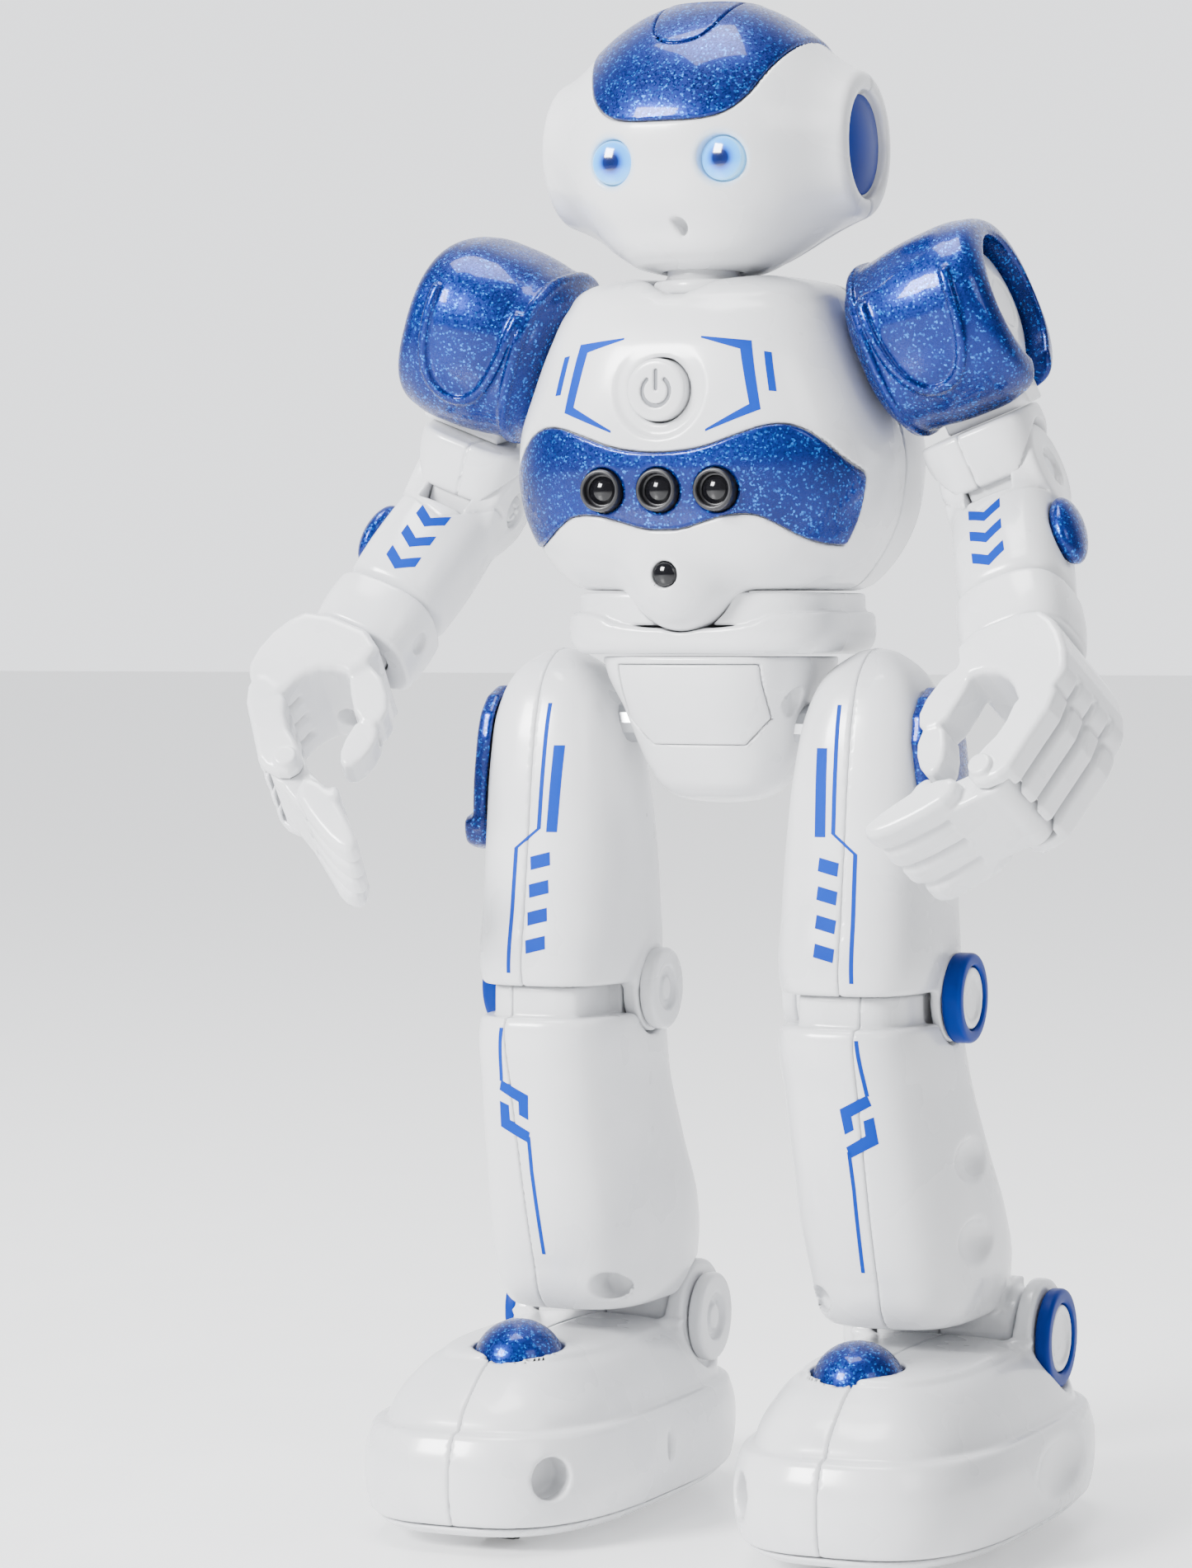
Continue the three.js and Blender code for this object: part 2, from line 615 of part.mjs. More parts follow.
function buildArm(side) {
  const word = side > 0 ? "left" : "right";
  const arm = addGroup(robot, side, [SHOULDER.x, SHOULDER.y, SHOULDER.z], UPPER_ARM_SWING, SPLAY);
  addPart(arm, `shoulder_pod_${word}`, podSolid(), "glitterBlue", side);
  addPart(arm, `shoulder_hub_${word}`, hubSolid(), "white", side);
  addPart(arm, `upper_arm_${word}`, upperArmSolid(), "white", side);

  const elbow = addGroup(arm, side, [0, 0, -UPPER_ARM_LENGTH], ELBOW_BEND);
  addPart(elbow, `elbow_pin_${word}`, elbowPinSolid(), "steel", side);
  addPart(elbow, `forearm_${word}`, forearmSolid(), "white", side);
  const dome = ball(5.1, 10.2, 0.5, -15, [0.5, 1, 1.25]);
  addPart(elbow, `forearm_dome_${word}`, dome, "glitterBlue", side);

  const wrist = addGroup(elbow, side, [0, 0, -FOREARM_LENGTH]);
  addPart(wrist, `hand_${word}`, palmSolid(), "white", side);
  const knuckle = addGroup(wrist, side, [FINGER_PIN.out, 0, -FINGER_PIN.down]);
  knuckle.rotation.set(0, side * FINGER_CURL[word], 0);
  addPart(knuckle, `fingers_${word}`, fingerSolid(), "white", side);
}

// ---------------------------------------------------------------- legs
function thighSolid() {
  const hipEnd = THIGH_ROWS.length - 1;
  const openRows = offset(THIGH_ROWS.filter((section, i) => i % 2 === 0 || i === hipEnd), -WALL);
  openRows[0].z = 90;
  const ears = barX(KNEE.capRadius, 38.4, 41, KNEE.y, KNEE.z)
    .add(barX(KNEE.capRadius, 15, 17.6, KNEE.y, KNEE.z));
  return loft(THIGH_ROWS)
    .add(ears)
    .subtract(loft(openRows, 3, HOLLOW_SIDES))
    .subtract(box(17.6, 38.4, -5, 20, 80, 101))
    .subtract(barX(HIP.radius + GAP, 10, HIP.halfLength + 0.6, HIP.y, HIP.z))
    .subtract(barX(KNEE.pinRadius + GAP, 0, 60, KNEE.y, KNEE.z));
}

// A curved blue cover on the outside of the thigh, thicker along its lower lip.
function thighCoverSolid() {
  const sheet = loft(offset(THIGH_ROWS, 3)).intersect(box(34, 60, -8, 15, 122, 147));
  const lip = loft(offset(THIGH_ROWS, 4.6)).intersect(box(35, 60, -6.5, 13.5, 118.6, 125));
  return sheet.add(lip).subtract(loft(offset(THIGH_ROWS, GAP)));
}

function kneePinSolid() {
  const outerCap = coneX(KNEE.capRadius, KNEE.capRadius - 0.6, 41.3, 44.8, KNEE.y, KNEE.z);
  const innerCap = barX(KNEE.capRadius - 0.6, 12, 14.7, KNEE.y, KNEE.z);
  return barX(KNEE.pinRadius, 13, 43, KNEE.y, KNEE.z).add(outerCap).add(innerCap);
}

function shinSolid() {
  const kneeKnuckle = barX(6.5, 18.2, 37.8, KNEE.y, KNEE.z)
    .add(box(18.2, 37.8, KNEE.y - 6.5, KNEE.y + 6.5, 88, KNEE.z));
  const ankleKnuckle = barX(8.6, 20.3, 45.6, ANKLE.y, ANKLE.z)
    .add(box(20.3, 43.6, 29, 41, 32, 42));
  return loft(SHIN_ROWS)
    .add(ankleKnuckle)
    .subtract(hollow(SHIN_ROWS, WALL))
    .add(kneeKnuckle)
    .subtract(barX(11, 0, 19.9, ANKLE.y, ANKLE.z))
    .subtract(barX(KNEE.capRadius + 0.5, 37.9, 60, KNEE.y, KNEE.z))
    .subtract(barX(KNEE.capRadius + 0.5, 0, 18.1, KNEE.y, KNEE.z))
    .subtract(barX(KNEE.pinRadius + GAP, 0, 60, KNEE.y, KNEE.z))
    .subtract(barX(ANKLE.pinRadius + GAP, 0, 60, ANKLE.y, ANKLE.z))
    .subtract(box(22, 38, 5, 25, 30, 41));
}

function anklePinSolid() {
  const outerCap = coneX(ANKLE.capRadius, ANKLE.capRadius - 0.6, 49.8, 52.4, ANKLE.y, ANKLE.z);
  const innerCap = barX(ANKLE.capRadius - 0.8, 13.6, 16.2, ANKLE.y, ANKLE.z);
  return barX(ANKLE.pinRadius, 14, 51, ANKLE.y, ANKLE.z).add(outerCap).add(innerCap);
}

function footShellSolid() {
  const openRows = offset(FOOT_ROWS.filter((section, i) => i % 2 === 0), -WALL);
  openRows[0].z = 0;
  const earRadius = 10.4;
  const outerEar = barX(earRadius, 46.4, 49.5, ANKLE.y, ANKLE.z);
  const innerEar = barX(earRadius, 16.5, 19.6, ANKLE.y, ANKLE.z);
  return loft(FOOT_ROWS)
    .subtract(loft(openRows, 3, HOLLOW_SIDES))
    .add(outerEar)
    .add(innerEar)
    .subtract(barX(9.4, 19.8, 46.2, ANKLE.y, ANKLE.z))
    .subtract(barX(ANKLE.capRadius + 0.5, 49.5, 60, ANKLE.y, ANKLE.z))
    .subtract(barX(ANKLE.capRadius + 0.5, 5, 16.5, ANKLE.y, ANKLE.z))
    .subtract(box(19.8, 46.2, 28, 46, 31, 45))
    .subtract(barX(ANKLE.pinRadius + GAP, 0, 60, ANKLE.y, ANKLE.z))
    .subtract(footDomeSolid(GAP));
}

function footDomeSolid(margin = 0) {
  return ball(8 + margin, 31.5, -12, 29.5, [1, 1, 0.95]);
}

// The tread is many-sided, with one flat facet square on the ground.
function wheelSolid(place) {
  const treadSides = 24;
  const halfFacet = Math.PI / treadSides;
  const corner = WHEEL.radius / Math.cos(halfFacet);
  const tread = new THREE.CylinderGeometry(corner, corner, WHEEL.width, treadSides);
  tread.rotateY(halfFacet);
  tread.rotateZ(Math.PI / 2);
  tread.translate(place.x, place.y, WHEEL.radius);
  return toSolid(tread)
    .add(barX(WHEEL.axleRadius, place.x - WHEEL.axleHalf, place.x + WHEEL.axleHalf, place.y, WHEEL.radius, 10));
}

function soleSolid() {
  let sole = loft(SOLE_ROWS);
  for (const place of Object.values(WHEEL_PLACES)) {
    const half = WHEEL.width / 2 + 0.8;
    const reach = WHEEL.radius + 0.8;
    for (const side of [-1, 1]) {
      const bearing = place.x + side * (WHEEL.axleHalf - 1.6);
      sole = sole.add(box(bearing - 1.2, bearing + 1.2, place.y - 3.4, place.y + 3.4, 3, 10.6));
    }
    sole = sole.subtract(box(place.x - half, place.x + half, place.y - reach, place.y + reach, 0, 20));
    sole = sole.subtract(barX(WHEEL.axleRadius + GAP, place.x - 9, place.x + 9, place.y, WHEEL.radius, 10));
  }
  return sole;
}

function buildLeg(side) {
  const word = side > 0 ? "left" : "right";
  addPart(robot, `thigh_shell_${word}`, thighSolid(), "white", side);
  addPart(robot, `thigh_cover_${word}`, thighCoverSolid(), "glitterBlue", side);
  addPart(robot, `knee_pin_${word}`, kneePinSolid(), "blue", side);
  addPart(robot, `shin_shell_${word}`, shinSolid(), "white", side);
  addPart(robot, `ankle_pin_${word}`, anklePinSolid(), "blue", side);
  addPart(robot, `foot_shell_${word}`, footShellSolid(), "white", side);
  addPart(robot, `foot_dome_${word}`, footDomeSolid(), "glitterBlue", side);
  addPart(robot, `foot_sole_${word}`, soleSolid(), "white", side);
  addPart(robot, `front_wheel_${word}`, wheelSolid(WHEEL_PLACES.front), "tyre", side);
  addPart(robot, `rear_wheel_${word}`, wheelSolid(WHEEL_PLACES.rear), "tyre", side);
}

buildHead();
buildChest();
buildInternals();
buildPelvis();
for (const side of [1, -1]) {
  buildArm(side);
  buildLeg(side);
}

// The origin is on the ground, half way along and across the robot's box.
robot.position.y = -MIDDLE_Y;

export default robot;
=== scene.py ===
import itertools
import json
import math

import bpy
import numpy as np
from mathutils import Matrix, Vector


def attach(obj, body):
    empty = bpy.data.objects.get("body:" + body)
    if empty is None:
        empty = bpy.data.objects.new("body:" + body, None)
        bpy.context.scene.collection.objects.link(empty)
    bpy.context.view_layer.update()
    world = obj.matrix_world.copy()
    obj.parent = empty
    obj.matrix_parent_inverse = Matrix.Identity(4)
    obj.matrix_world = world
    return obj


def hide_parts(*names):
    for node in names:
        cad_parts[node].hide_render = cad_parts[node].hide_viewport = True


# A walking toy robot around its CAD frame: moulded shells, glitter-blue covers, decals and lenses.
# Shapes are fields of distances in millimetres, negative inside, in the CAD part's own coordinates
# before it is centred. Each field is meshed once, and right-hand pieces are mirror images.

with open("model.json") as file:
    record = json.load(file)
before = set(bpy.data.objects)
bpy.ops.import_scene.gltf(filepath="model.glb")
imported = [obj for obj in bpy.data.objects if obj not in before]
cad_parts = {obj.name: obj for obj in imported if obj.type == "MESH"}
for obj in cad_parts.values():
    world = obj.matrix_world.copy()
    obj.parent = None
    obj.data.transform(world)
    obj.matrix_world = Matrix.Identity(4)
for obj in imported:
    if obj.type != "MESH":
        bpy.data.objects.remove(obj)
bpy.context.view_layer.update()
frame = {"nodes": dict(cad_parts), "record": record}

# ---------------------------------------------------------------- driving dimensions, mm
MM = 0.001
JOINTS = {joint["name"]: joint for joint in frame["record"]["behaviour"]["joints"]}
HIP_Y = 4.0
MIDDLE_Y = HIP_Y - JOINTS["hip_swing_left"]["pos_m"][1] / MM  # the CAD part is centred by this much
SEAM = 0.12  # half the width of a parting line
FULL_CURL = 18  # degrees
FAR = 60  # beyond the shapes it is used on, for a cut that is open at one end
SIDES = ((1, "left"), (-1, "right"))

EYE = (10.0, 236.3)
EYE_FRONT = -21.6
EAR = (1.5, 240.0)
EAR_RIM = 28.0
NECK_Y = -4.4
BUTTON_Z = 197.5
SENSOR_Z = 180.7
SENSOR_SPACING = 10.3
BELLY = (0.0, -13.0, 166.2)
BELLY_RADII = (9.3, 9.3, 9.3)
LED_Z = BELLY[2] + 0.4
SHOULDER = (40.0, 3.5, 208.0)
KNEE = (9.0, 94.0)
ANKLE = (36.0, 32.0)
PIN = (-5.0, -29.4)  # the finger pin in the hand's frame: outwards and up
UPPER_ARM = 28.7
FRONT_WHEEL = (31, -20)
REAR_WHEEL = (40, 22)
WHEEL_Z = 7.0
TOE_DOME = (31.5, -12, 29.5)
VIEW_AZIMUTH = math.radians(22)  # where the photograph was taken from, towards the robot's left

# Sections: height, centre x and y, half width, half depth.
HEAD_ROWS = [
    (218.2, 0, -3.5, 5, 5),
    (218.9, 0, -3.5, 10, 9.4),
    (220.5, 0, -3.2, 13.4, 12.4),
    (225, 0, -1.6, 19, 16.8),
    (231, 0, -0.4, 24, 21.4),
    (237, 0, 0.4, 26.2, 23.5),
    (243, 0, 0.8, 26.2, 23.8),
    (249, 0, 1.4, 24.4, 22.6),
    (255, 0, 1.8, 20.8, 19.6),
    (260, 0, 2, 15.8, 15),
    (263.6, 0, 2, 9.4, 9),
    (265.3, 0, 2, 0, 0),
]
CHEST_ROWS = [
    (164, 0, 5, 24, 20),
    (168, 0, 5, 27.6, 24.6),
    (175, 0, 5, 31.6, 28),
    (183, 0, 5, 33.2, 29.8),
    (190, 0, 5, 33.2, 30),
    (198, 0, 5, 30.6, 29.6),
    (206, 0, 5, 27.6, 28),
    (212, 0, 5, 25, 25),
    (216, 0, 5, 21.8, 21),
    (218, 0, 5, 16, 15.5),
]
PELVIS_ROWS = [
    (127, 0, 6, 0, 0),
    (127.8, 0, 6, 6.6, 5.8),
    (129.5, 0, 6, 9.8, 8.4),
    (133, 0, 6, 12.4, 10.8),
    (138, 0, 5.6, 14.4, 13),
    (144, 0, 5, 16.2, 15.8),
    (149, 0, 4.4, 18.4, 17.4),
    (152.6, 0, 4, 19.4, 17.8),
]
THIGH_ROWS = [
    (95.5, 28, 3, 12.8, 18.8),
    (97, 28, 3, 13.1, 19.1),
    (110, 28, 3.4, 13.2, 18.2),
    (122, 28.2, 3.4, 12.9, 16.6),
    (134, 28.6, 3.2, 12.1, 14.8),
    (143, 29, 3, 10.7, 12.6),
    (149.5, 29.2, 3, 7.8, 9.4),
    (153, 29.4, 3, 3.6, 4.8),
    (154.2, 29.4, 3, 0, 0),
]
SHIN_ROWS = [
    (37, 30, 20, 12.4, 19),
    (39, 30, 20, 13.4, 21.4),
    (46, 30, 19.5, 14.6, 24),
    (54, 29.5, 17, 14.8, 24.4),
    (66, 29, 11.5, 14.2, 22.6),
    (78, 28.5, 6.5, 13.6, 21),
    (88.5, 28, 3.6, 13.2, 20.6),
    (90, 28, 3.5, 13, 20.2),
]
FOOT_ROWS = [
    (4.6, 34.5, 10.8, 23.4, 46.6),
    (8, 34.5, 10.6, 24.2, 47.4),
    (12, 34.5, 10.56, 24.6, 47.7),
    (16, 34.5, 10.56, 24.4, 47.4),
    (20.4, 34.5, 10.7, 23.2, 46.0),
]
INSTEP_ROWS = [
    (12, 34.4, 11, 21.9, 44.6),
    (19, 34.4, 11, 21.6, 44.2),
    (23, 34.2, 11.2, 20.8, 42.6),
    (27, 34, 12, 18.8, 39),
    (30.6, 33.6, 12.6, 15.4, 33.6),
    (32.6, 33.4, 13, 11.2, 27.6),
    (33.2, 33.4, 13, 5, 14),
]
SOLE_ROWS = [
    (2.6, 34.5, 10.8, 20.8, 44),
    (4.3, 34.5, 10.8, 22.6, 45.8),
]
UPPER_ARM_ROWS = [
    (-27.2, 0, 0, 9.3, 9.5),
    (-24, 0, 0, 9.7, 9.8),
    (-19, 0, 0, 10.2, 10.0),
    (-17.4, 0, 0, 10.0, 9.8),
]
FOREARM_ROWS = [
    (-27.7, 0, 0, 9.2, 9.2),
    (-18, 0, 0, 9.6, 9.4),
    (-9, 0, 0, 9.4, 8.6),
    (0, 0, 0, 8.8, 7.8),
    (3, 0, 0, 8.4, 7.4),
]
CUFF_ROWS = [
    (-38, 0, 0, 9.5, 9.5),
    (-33, 0, 0, 10, 10),
    (-27.9, 0, 0, 9.8, 9.8),
]


# ---------------------------------------------------------------- fields of distances
def smooth_max(a, b, blend):
    overlap = np.maximum(blend - np.abs(a - b), 0) / blend
    return np.maximum(a, b) + overlap * overlap * blend / 4


def smooth_min(a, b, blend):
    return -smooth_max(-a, -b, blend)


def join(*fields, blend=0.6):
    def field(x, y, z):
        total = fields[0](x, y, z)
        for other in fields[1:]:
            total = smooth_min(total, other(x, y, z), blend)
        return total
    return field


def both(*fields, blend=0.6):
    def field(x, y, z):
        total = fields[0](x, y, z)
        for other in fields[1:]:
            total = smooth_max(total, other(x, y, z), blend)
        return total
    return field


def cut(base, *tools, blend=0.6):
    def field(x, y, z):
        total = base(x, y, z)
        for tool in tools:
            total = smooth_max(total, -tool(x, y, z), blend)
        return total
    return field


def grown(base, distance):
    return lambda x, y, z: base(x, y, z) - distance


def cut_below(skin, depth):
    """The part of space outside a surface that lies a depth under the skin."""
    return lambda x, y, z: -(skin(x, y, z) + depth)


def both_sides(base):
    """The same shape on the left and on the right."""
    return lambda x, y, z: base(np.abs(x), y, z)


def curve_table(rows, column, samples=500, squared=False):
    """A smooth run of one column of the rows against height."""
    heights = np.array([row[0] for row in rows], float)
    values = np.array([row[column] for row in rows], float)
    if squared:
        values = values ** 2
    slopes = np.gradient(values, heights)
    at = np.linspace(heights[0], heights[-1], samples)
    index = np.clip(np.searchsorted(heights, at) - 1, 0, len(heights) - 2)
    width = heights[index + 1] - heights[index]
    t = (at - heights[index]) / width
    result = (
        (2 * t**3 - 3 * t**2 + 1) * values[index]
        + (t**3 - 2 * t**2 + t) * width * slopes[index]
        + (3 * t**2 - 2 * t**3) * values[index + 1]
        + (t**3 - t**2) * width * slopes[index + 1]
    )
    if squared:
        result = np.sqrt(np.maximum(result, 0.1))
    return at, result


def loft(rows, power=3.0, edge=1.0):
    """A skin through the rows, with its flat ends rounded by an edge radius."""
    heights, middle_x = curve_table(rows, 1)
    middle_y = curve_table(rows, 2)[1]
    half_x = curve_table(rows, 3, squared=True)[1]
    half_y = curve_table(rows, 4, squared=True)[1]
    tables = [middle_x, middle_y, half_x, half_y]
    slopes = [np.gradient(table, heights) for table in tables]

    def field(x, y, z):
        cx, cy, hx, hy = [np.interp(z, heights, table) for table in tables]
        cx1, cy1, hx1, hy1 = [np.interp(z, heights, table) for table in slopes]
        u = (x - cx) / hx
        v = (y - cy) / hy
        a = np.abs(u)
        b = np.abs(v)
        radius = np.maximum((a**power + b**power) ** (1 / power), 0.05)
        shrink = radius ** (1 - power)
        grad_x = shrink * a ** (power - 1) / hx
        grad_y = shrink * b ** (power - 1) / hy
        grad_z = grad_x * (np.sign(u) * cx1 + a * hx1) + grad_y * (np.sign(v) * cy1 + b * hy1)
        steepness = np.sqrt(grad_x**2 + grad_y**2 + grad_z**2)
        side = (radius - 1) / np.maximum(steepness, 0.004)
        side = np.where(radius > 1, np.maximum(side, (radius - 1) * np.minimum(hx, hy) * 0.15), side)
        ends = np.maximum(rows[0][0] - z, z - rows[-1][0])
        return smooth_max(side, ends, edge)
    return field


def ball(centre, radii):
    smallest = min(radii)

    def field(x, y, z):
        scaled = [(c - m) / r for c, m, r in zip((x, y, z), centre, radii)]
        length = np.sqrt(sum(s * s for s in scaled))
        return (length - 1) * smallest
    return field


def slab(axis, low, high):
    def field(*point):
        return np.maximum(low - point[axis], point[axis] - high)
    return field


def bar(axis, radius, low, high, across, edge=0.5):
    """A round bar along an axis. across gives its other two coordinates, in x, y, z order."""
    others = [k for k in range(3) if k != axis]

    def field(*point):
        first = point[others[0]] - across[0]
        second = point[others[1]] - across[1]
        side = np.sqrt(first * first + second * second) - radius
        ends = np.maximum(low - point[axis], point[axis] - high)
        return smooth_max(side, ends, edge)
    return field


def outline(points, axes=(0, 2)):
    """Signed distance to a closed outline drawn in the plane of two axes."""
    corners = [np.array(p, float) for p in points]

    def field(*point):
        u = point[axes[0]]
        v = point[axes[1]]
        best = None
        inside = None
        for start, end in zip(corners, corners[1:] + corners[:1]):
            edge = end - start
            du = u - start[0]
            dv = v - start[1]
            t = np.clip((du * edge[0] + dv * edge[1]) / max(edge @ edge, 1e-9), 0, 1)
            gap = (du - t * edge[0]) ** 2 + (dv - t * edge[1]) ** 2
            best = gap if best is None else np.minimum(best, gap)
            rises = (start[1] <= v) != (end[1] <= v)
            reach = start[0] + (v - start[1]) * edge[0] / (edge[1] if abs(edge[1]) > 1e-9 else 1e-9)
            flips = rises & (u < reach)
            inside = flips if inside is None else inside ^ flips
        return np.where(inside, -1.0, 1.0) * np.sqrt(best)
    return field


def softened(points, rounds=2):
    """The outline with its corners cut, which rounds them."""
    corners = [np.array(p, float) for p in points]
    for _ in range(rounds):
        fresh = []
        for start, end in zip(corners, corners[1:] + corners[:1]):
            fresh += [start * 0.75 + end * 0.25, start * 0.25 + end * 0.75]
        corners = fresh
    return corners


def stroke(points, half_width, axes=(0, 2)):
    """Distance to an open line of some width, drawn in the plane of two axes."""
    corners = [np.array(p, float) for p in points]

    def field(*point):
        u = point[axes[0]]
        v = point[axes[1]]
        best = None
        for start, end in zip(corners, corners[1:]):
            edge = end - start
            du = u - start[0]
            dv = v - start[1]
            t = np.clip((du * edge[0] + dv * edge[1]) / (edge @ edge), 0, 1)
            gap = (du - t * edge[0]) ** 2 + (dv - t * edge[1]) ** 2
            best = gap if best is None else np.minimum(best, gap)
        return np.sqrt(best) - half_width
    return field


def line_along(points, half_width):
    """A line drawn along a closed outline."""
    edge = outline(points)
    return lambda x, y, z: np.abs(edge(x, y, z)) - half_width


def prism(points, half_width, blend=1.2, axes=(0, 2), across=1, middle=0.0):
    """An outline given thickness across its plane, with rounded edges."""
    return both(outline(points, axes), slab(across, middle - half_width, middle + half_width), blend=blend)


# ---------------------------------------------------------------- meshing
def surface_net(field, low, high, step):
    """Vertices and quads where the field is zero, one vertex in each cell that the surface crosses."""
    counts = [int(math.ceil((b - a) / step)) + 1 for a, b in zip(low, high)]
    lines = [a + step * np.arange(n) for a, n in zip(low, counts)]
    distance = np.broadcast_to(field(*np.meshgrid(*lines, indexing="ij", sparse=True)), counts)
    inside = distance < 0
    cells = [n - 1 for n in counts]
    total = np.zeros(cells + [3])
    hits = np.zeros(cells)
    crossings = []
    for axis in range(3):
        others = [k for k in range(3) if k != axis]
        near = [slice(None)] * 3
        far = [slice(None)] * 3
        near[axis] = slice(0, -1)
        far[axis] = slice(1, None)
        first = distance[tuple(near)]
        second = distance[tuple(far)]
        crossed = inside[tuple(near)] != inside[tuple(far)]
        part = np.where(crossed, first / np.where(crossed, first - second, 1), 0)
        crossings.append((crossed, inside[tuple(near)]))
        for shift in itertools.product((0, 1), repeat=2):
            window = [slice(None)] * 3
            for k, s in zip(others, shift):
                window[k] = slice(s, s + cells[k])
            hit = crossed[tuple(window)]
            hits += hit
            total[..., axis] += part[tuple(window)]
            for k, s in zip(others, shift):
                total[..., k] += s * hit
    active = hits > 0
    number = np.full(cells, -1)
    number[active] = np.arange(active.sum())
    where = np.argwhere(active)
    vertices = np.array(low) + step * (where + total[active] / hits[active][:, None])
    quads = []
    for axis, (crossed, starts_inside) in enumerate(crossings):
        others = [k for k in range(3) if k != axis]
        window = [slice(None)] * 3
        for k in others:
            window[k] = slice(1, cells[k])
        at = np.argwhere(crossed[tuple(window)])
        if not len(at):
            continue
        solid_first = starts_inside[tuple(window)][tuple(at.T)]
        corners = []
        for shift in ((0, 0), (1, 0), (1, 1), (0, 1)):
            cell = at.copy()
            for k, s in zip(others, shift):
                cell[:, k] += s
            corners.append(number[tuple(cell.T)])
        ring = np.stack(corners, axis=1)
        outward = solid_first if axis != 1 else ~solid_first
        ring[~outward] = ring[~outward][:, ::-1]
        quads.append(ring)
    return settle(field, vertices, step), np.concatenate(quads)


def settle(field, vertices, step, rounds=3):
    """Moves the vertices onto the field's zero level along its slope."""
    nudge = step * 0.08
    for _ in range(rounds):
        here = field(*vertices.T)
        slope = np.stack([
            (field(*(vertices + nudge * axis).T) - here) / nudge for axis in np.eye(3)
        ], axis=1)
        steep = np.maximum((slope * slope).sum(axis=1), 0.2)
        move = -slope * (here / steep)[:, None]
        vertices = vertices + np.clip(move, -0.4 * step, 0.4 * step)
    return vertices


def mirrored(shape):
    vertices, faces = shape
    return vertices * np.array([-1, 1, 1]), [tuple(face)[::-1] for face in faces]


def sided(shape, side):
    return shape if side > 0 else mirrored(shape)


def limb_place(origin, x_axis, z_axis):
    """The frame of a limb, from its joint's place, its sideways axis and the way up the limb."""
    x = Vector(x_axis).normalized()
    z = Vector(z_axis).normalized()
    y = z.cross(x).normalized()
    z = x.cross(y)
    turn = Matrix((x, y, z)).transposed().to_4x4()
    return Matrix.Translation(Vector(origin)) @ turn


TORSO_PLACE = Matrix.Translation((0, -MIDDLE_Y * MM, 0))


def add_piece(name, shape, material, body, nodes=(), place=TORSO_PLACE, smooth=True):
    vertices, faces = shape
    mesh = bpy.data.meshes.new(name)
    mesh.from_pydata((np.asarray(vertices) * MM).tolist(), [], [tuple(map(int, face)) for face in faces])
    mesh.transform(place)
    mesh.polygons.foreach_set("use_smooth", [smooth] * len(mesh.polygons))
    mesh.update()
    mesh.materials.append(material)
    piece = bpy.data.objects.new(name, mesh)
    bpy.context.scene.collection.objects.link(piece)
    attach(piece, body)
    if nodes:
        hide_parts(*nodes)
    return piece


def decal(patches, skin, direction=(0, 1, 0), axes=(0, 2), lift=0.05, sink=0.25, spacing=0.5):
    """Thin closed slabs laid on a skin. Each patch is four corners in the plane of two axes."""
    vertices = []
    faces = []
    for patch in patches:
        a, b, c, d = [np.array(p, float) for p in patch]
        wide = max(2, int(math.ceil(max(np.linalg.norm(b - a), np.linalg.norm(c - d)) / spacing)) + 1)
        tall = max(2, int(math.ceil(max(np.linalg.norm(d - a), np.linalg.norm(c - b)) / spacing)) + 1)
        flat = []
        for j, i in itertools.product(range(tall), range(wide)):
            s = i / (wide - 1)
            t = j / (tall - 1)
            flat.append((a * (1 - s) + b * s) * (1 - t) + (d * (1 - s) + c * s) * t)
        found, normal = land_on(skin, np.array(flat), direction, axes)
        first = len(vertices)
        vertices += list(found + normal * lift) + list(found - normal * sink)
        faces += slab_faces(first, wide, tall)
    return facing_out((np.array(vertices), faces), Vector(direction))


def land_on(skin, flat, direction, axes):
    """Walks points along a direction until they reach a skin, and gives them with their normals."""
    way = np.array(direction, float)
    points = np.tile(way * -FAR, (len(flat), 1))
    points[:, axes[0]] = flat[:, 0]
    points[:, axes[1]] = flat[:, 1]
    for _ in range(160):
        points += way * np.clip(skin(*points.T) * 0.7, -0.5, 4)[:, None]
    here = skin(*points.T)
    if np.abs(here).max() > 0.2:
        raise ValueError(f"a decal at {flat[np.abs(here).argmax()]} misses its shell")
    slope = np.stack([(skin(*(points + 0.05 * axis).T) - here) / 0.05 for axis in np.eye(3)], axis=1)
    return points, slope / np.linalg.norm(slope, axis=1)[:, None]


def slab_faces(first, wide, tall):
    """Faces of a grid of top vertices followed by the same grid of bottom ones."""
    count = wide * tall
    faces = []
    for j, i in itertools.product(range(tall - 1), range(wide - 1)):
        corner = first + j * wide + i
        faces.append((corner, corner + 1, corner + wide + 1, corner + wide))
        faces.append((corner + count + wide, corner + count + wide + 1, corner + count + 1, corner + count))
    rim = [first + i for i in range(wide)]
    rim += [first + j * wide + wide - 1 for j in range(1, tall)]
    rim += [first + (tall - 1) * wide + i for i in range(wide - 2, -1, -1)]
    rim += [first + j * wide for j in range(tall - 2, 0, -1)]
    for here, there in zip(rim, rim[1:] + rim[:1]):
        faces.append((there, here, here + count, there + count))
    return faces


def facing_out(shape, along):
    """Flips each slab whose top faces along the projection and not against it."""
    vertices, faces = shape
    a, b, c = [Vector(vertices[i]) for i in faces[0][:3]]
    if (b - a).cross(c - b).dot(along) > 0:
        faces = [face[::-1] for face in faces]
    return vertices, faces


# ---------------------------------------------------------------- materials
def new_material(name):
    material = bpy.data.materials.new(name)
    material.use_nodes = True
    nodes = material.node_tree.nodes
    shader = nodes["Principled BSDF"]
    return material, nodes, material.node_tree.links, shader


